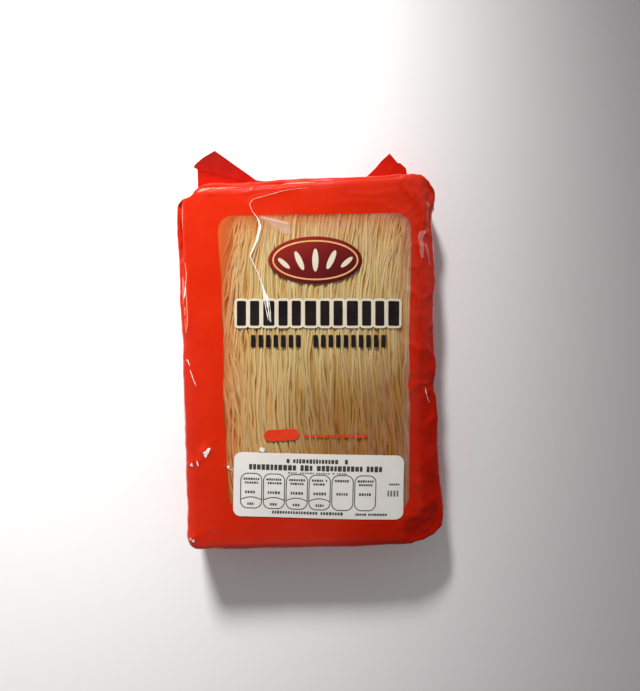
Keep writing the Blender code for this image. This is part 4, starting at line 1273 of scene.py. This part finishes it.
def make_crease_lines():
    """Painted highlights on the film: white lines along its sharpest folds, pinkish glints, white flecks where small
    facets would catch the light, painted reflections and lit patches.
    """
    # painted highlights: white lines along the folds
    lines = [
        (ZIGZAG[5:], [0.3, 0.6, 1.2, 1.2, 0.55, 0.4, 0.9, 1.2, 0.3]),
        ([(-73.7, 3.6), (-73.0, 4.3), (-72.4, 3.4), (-71.2, 0.3)], [0.2, 0.5, 0.5, 0.2]),
        ([(-71.0, -1.9), (-70.1, -4.7), (-68.9, -8.1), (-67.5, -11.8)], [0.12, 0.45, 0.4, 0.12]),
        ([(70.4, -16.9), (69.8, -20.4), (70.4, -23.4), (71.6, -25.8)], [0.15, 0.35, 0.35, 0.15]),
        ([(-47.4, -61.4), (-49.6, -60.9)], [0.2, 0.4]),
        ([(-71.9, 48.2), (-72.0, 45.3), (-72.7, 41.8), (-74.2, 39.4)], [0.3, 0.9, 0.8, 0.2]),
        ([(-25.8, 38.9), (-25.3, 35.9), (-24.8, 32.4), (-24.0, 28.3), (-23.6, 25.9)], [0.5, 0.4, 0.35, 0.5, 0.15]),
        ([(-23.2, 39.4), (-22.6, 35.3), (-22.3, 30.6), (-22.2, 24.7)], [0.2, 0.35, 0.35, 0.4]),
    ]
    glints = [
        (ZIGZAG[:7], [0.1, 0.25, 0.3, 0.32, 0.36, 0.3, 0.32]),
        ([(-72.0, 61.8), (-71.7, 58.3), (-71.2, 55.3), (-71.5, 51.8), (-71.8, 48.2)], [0.1, 0.3, 0.35, 0.35, 0.45]),
        ([(-74.2, 39.4), (-75.0, 37.4)], [0.4, 0.2]),
        ([(-71.5, 44.1), (-71.3, 39.3), (-71.3, 33.4), (-71.5, 27.5), (-72.1, 22.8), (-73.1, 19.9)], [0.35, 0.3, 0.25, 0.4, 0.35, 0.2]),
        ([(-73.1, 19.9), (-73.3, 24.0), (-73.0, 28.8)], [0.2, 0.25, 0.12]),
        ([(-72.9, 35.3), (-72.5, 33.5), (-73.0, 31.7), (-72.6, 29.9)], [0.2, 0.35, 0.3, 0.12]),
        ([(-72.2, 98.6), (-72.3, 92.7), (-72.4, 85.6), (-72.2, 81.0)], [0.15, 0.35, 0.4, 0.15]),
        ([(-63.1, 104.3), (-60.4, 104.6), (-58.6, 105.0), (-56.8, 105.4)], [0.2, 0.5, 0.4, 0.2]),
        ([(-62.8, 105.6), (-60.1, 105.6), (-58.0, 106.0)], [0.15, 0.35, 0.2]),
        ([(-54.0, 105.2), (-52.2, 105.9), (-49.8, 106.4), (-46.8, 106.7), (-43.3, 106.8), (-40.3, 107.2)], [0.15, 0.25, 0.45, 0.5, 0.45, 0.15]),
        ([(-26.0, 106.6), (-18.0, 106.9), (-8.0, 107.2), (2.0, 107.4)], [0.15, 0.35, 0.3, 0.1]),
        # painted glints on the crinkles where the left ear leaves the pack
        ([(-61.5, 105.2), (-60.9, 106.4), (-59.3, 107.3), (-57.6, 107.4), (-56.4, 106.4), (-56.7, 105.4)], [0.2, 0.4, 0.55, 0.4, 0.5, 0.2]),
        ([(-55.2, 105.6), (-54.6, 107.3), (-53.4, 108.1), (-52.0, 107.6)], [0.2, 0.45, 0.5, 0.2]),
        ([(-50.3, 106.6), (-49.1, 107.7), (-47.7, 107.7), (-46.6, 106.8)], [0.2, 0.5, 0.4, 0.2]),
        ([(-59.2, 105.2), (-57.7, 106.0), (-55.6, 105.7)], [0.2, 0.4, 0.2]),
        ([(-32.4, 104.0), (-31.3, 105.4), (-30.5, 106.7)], [0.08, 0.16, 0.08]),
        # painted highlight on the clear edge of the sheet along the top
        ([(-20.6, 107.1), (-11.4, 107.2), (-2.6, 107.2), (6.3, 107.0)], [0.2, 0.8, 0.7, 0.15]),
    ]
    for name, strips, material in (("painted_crease_highlights", lines, PAINTED_WHITE_HIGHLIGHT), ("film_glints", glints, GLINT)):
        points, faces, count = [], [], 0
        for line, widths in strips:
            p, f = ribbon(line, widths)
            points.append(p)
            faces += list(f + count)
            count += len(p)
        mesh_object(name, np.concatenate(points), faces, material)
    # painted glints: small white flecks
    glint_flecks = [
        [(-60.1, -48.2), (-61.7, -48.3), (-62.6, -49.6), (-65.0, -51.2), (-63.7, -51.5), (-64.1, -52.7), (-63.1, -54.3), (-62.2, -52.5), (-61.1, -50.9)],
        [(-73.2, -58.5), (-71.4, -56.7), (-71.0, -59.2)],
        [(-68.7, -54.8), (-67.6, -57.4), (-67.8, -59.4), (-68.6, -57.6)],
        [(-50.8, -59.0), (-49.5, -58.7), (-49.0, -59.9), (-49.9, -60.8), (-50.7, -60.2)],
        [(-31.6, -49.9), (-30.0, -48.1), (-29.4, -49.1), (-28.2, -48.6), (-28.1, -50.6), (-29.1, -51.4), (-30.6, -51.0)],
        [(-26.9, 47.2), (-25.3, 43.0), (-23.2, 39.6), (-23.4, 38.0), (-24.6, 37.6), (-26.0, 39.2)],
        [(-74.0, -101.2), (-72.8, -100.6), (-72.6, -101.7), (-73.7, -102.2)],
        [(-72.7, -102.2), (-70.6, -101.1), (-71.0, -102.1), (-70.2, -103.1), (-71.7, -102.8)],
    ]
    on_film("film_painted_glint_flecks", [polygon(f) for f in glint_flecks], PAINTED_WHITE_HIGHLIGHT, lift=0.13, step=0.28)
    # painted reflections on the crinkled film at the right
    painted_sheen = [
        [(71.4, 76.6), (70.6, 76.8), (67.2, 75.9), (65.9, 72.8), (66.4, 69.0), (66.5, 63.6), (67.3, 60.1), (68.5, 60.3), (69.1, 64.6), (69.7, 68.9), (69.0, 71.1), (69.7, 73.8), (71.3, 75.5)],
        [(70.1, 69.0), (71.3, 68.6), (72.9, 63.5), (74.1, 58.1), (74.2, 54.0), (73.3, 57.6), (71.7, 62.4)],
        [(72.0, 82.0), (72.8, 80.2), (73.8, 76.6), (73.2, 76.0)],
        [(72.4, 93.3), (74.2, 93.5), (75.9, 91.7), (74.4, 90.5), (72.6, 91.5)],
    ]
    on_film("film_painted_sheen_right", [polygon(f) for f in painted_sheen], PAINTED_SHEEN_DIM, lift=0.10, step=0.35)
    # painted light: lit patches on the strip of the left wall
    bright = [
        [(-75.1, 54.0), (-72.9, 50.5), (-72.7, 47.2), (-73.6, 42.2), (-74.4, 38.8), (-74.9, 45.6)],
        [(-74.3, 95.0), (-73.2, 95.4), (-73.5, 90.8), (-74.4, 87.5), (-75.0, 84.1)],
    ]
    on_film("film_painted_lit_left", [polygon(f) for f in bright], PAINTED_LIT_RED, lift=0.10, step=0.4)


wrap = make_wrap()
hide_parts("pack")
for extra in (make_back(), make_back_seam(), make_seal("top_seal", 1), make_seal("bottom_seal", -1)):
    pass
glass = make_window_film()
make_noodles()
make_core()
LEFT_EAR = [(-66.8, 104.0), (-66.2, 121.2), (-68.7, 122.6), (-66.9, 124.4), (-62.0, 127.3), (-54.1, 130.5), (-30.0, 113.2), (-22.0, 111.6), (-21.0, 107.0), (-40.0, 104.0)]
RIGHT_EAR = [(35.0, 109.0), (36.4, 112.2), (43.5, 118.2), (47.2, 122.2), (52.6, 126.7), (57.6, 120.4), (58.9, 120.6), (62.4, 117.2), (62.9, 114.0), (62.6, 107.0), (48.0, 106.0)]
for ear in (make_ear("left_ear", LEFT_EAR, left_ear), make_ear("right_ear", RIGHT_EAR, right_ear)):
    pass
FIN_EDGE = [(72.6, 57.5), (74.2, 47.0), (75.4, 37.5), (74.9, 29.0), (73.0, 21.0), (72.4, 30.0), (72.2, 45.0)]
make_ear("loose_fin", FIN_EDGE, lambda x, y: 26.0 + 0.25 * (x - 73.0), step=0.5, material=FADED)
make_sticker()
make_print()
make_crease_lines()


# ---- floor, light and camera ---------------------------------------------------
WORLD = 0.58


def stage():
    m = Nodes("floor")
    colour = m.ramp(m.noise(3.0, 2.0), [(0.3, (0.90, 0.90, 0.905)), (0.7, (0.92, 0.92, 0.925))])
    material = m.finish(m.principled(Base_Color=colour, Roughness=0.6))
    mesh = bpy.data.meshes.new("floor")
    r = 3.0
    mesh.from_pydata([(-r, -r, 0), (r, -r, 0), (r, r, 0), (-r, r, 0)], [], [(0, 1, 2, 3)])
    mesh.materials.append(material)
    floor = bpy.data.objects.new("floor", mesh)
    bpy.context.scene.collection.objects.link(floor)

    world = bpy.data.worlds.new("studio")
    world.use_nodes = True
    tree = world.node_tree
    background = tree.nodes["Background"]
    place = tree.nodes.new("ShaderNodeTexCoord")
    split = tree.nodes.new("ShaderNodeSeparateXYZ")
    ramp = tree.nodes.new("ShaderNodeValToRGB")
    tree.links.new(place.outputs["Generated"], split.inputs[0])
    tree.links.new(split.outputs["Z"], ramp.inputs["Fac"])
    ramp.color_ramp.elements[0].position = 0.78
    ramp.color_ramp.elements[0].color = (0.62, 0.60, 0.60, 1.0)
    ramp.color_ramp.elements[1].position = 0.92
    ramp.color_ramp.elements[1].color = (0.10, 0.098, 0.097, 1.0)
    tree.links.new(ramp.outputs["Color"], background.inputs["Color"])
    background.inputs["Strength"].default_value = WORLD
    bpy.context.scene.world = world

    def spot(name, at, aim, radius, power, colour, cone, blend):
        data = bpy.data.lights.new(name, "SPOT")
        data.energy = power
        data.color = colour
        data.shadow_soft_size = radius
        data.spot_size = math.radians(cone)
        data.spot_blend = blend
        light = bpy.data.objects.new(name, data)
        light.rotation_euler = Vector(np.subtract(aim, at)).to_track_quat("-Z", "Y").to_euler()
        light.location = at
        bpy.context.scene.collection.objects.link(light)

    spot("key", (-0.27, 1.05, 0.66), (-0.25, 0.32, 0.035), 0.15, 129.0, (1.0, 0.985, 0.97), 37.3, 0.34)

    roll = math.radians(-1.8)
    data = bpy.data.cameras.new("camera")
    data.sensor_width = 36.0
    data.lens = 28.672
    camera = bpy.data.objects.new("camera", data)
    camera.location = (0.006158 - ORIGIN[0] * MM, 0.010032 - ORIGIN[1] * MM, 0.360)
    camera.rotation_euler = (0.0, 0.0, roll)
    bpy.context.scene.collection.objects.link(camera)
    bpy.context.scene.camera = camera
    bpy.context.scene.view_settings.view_transform = "Standard"


stage()
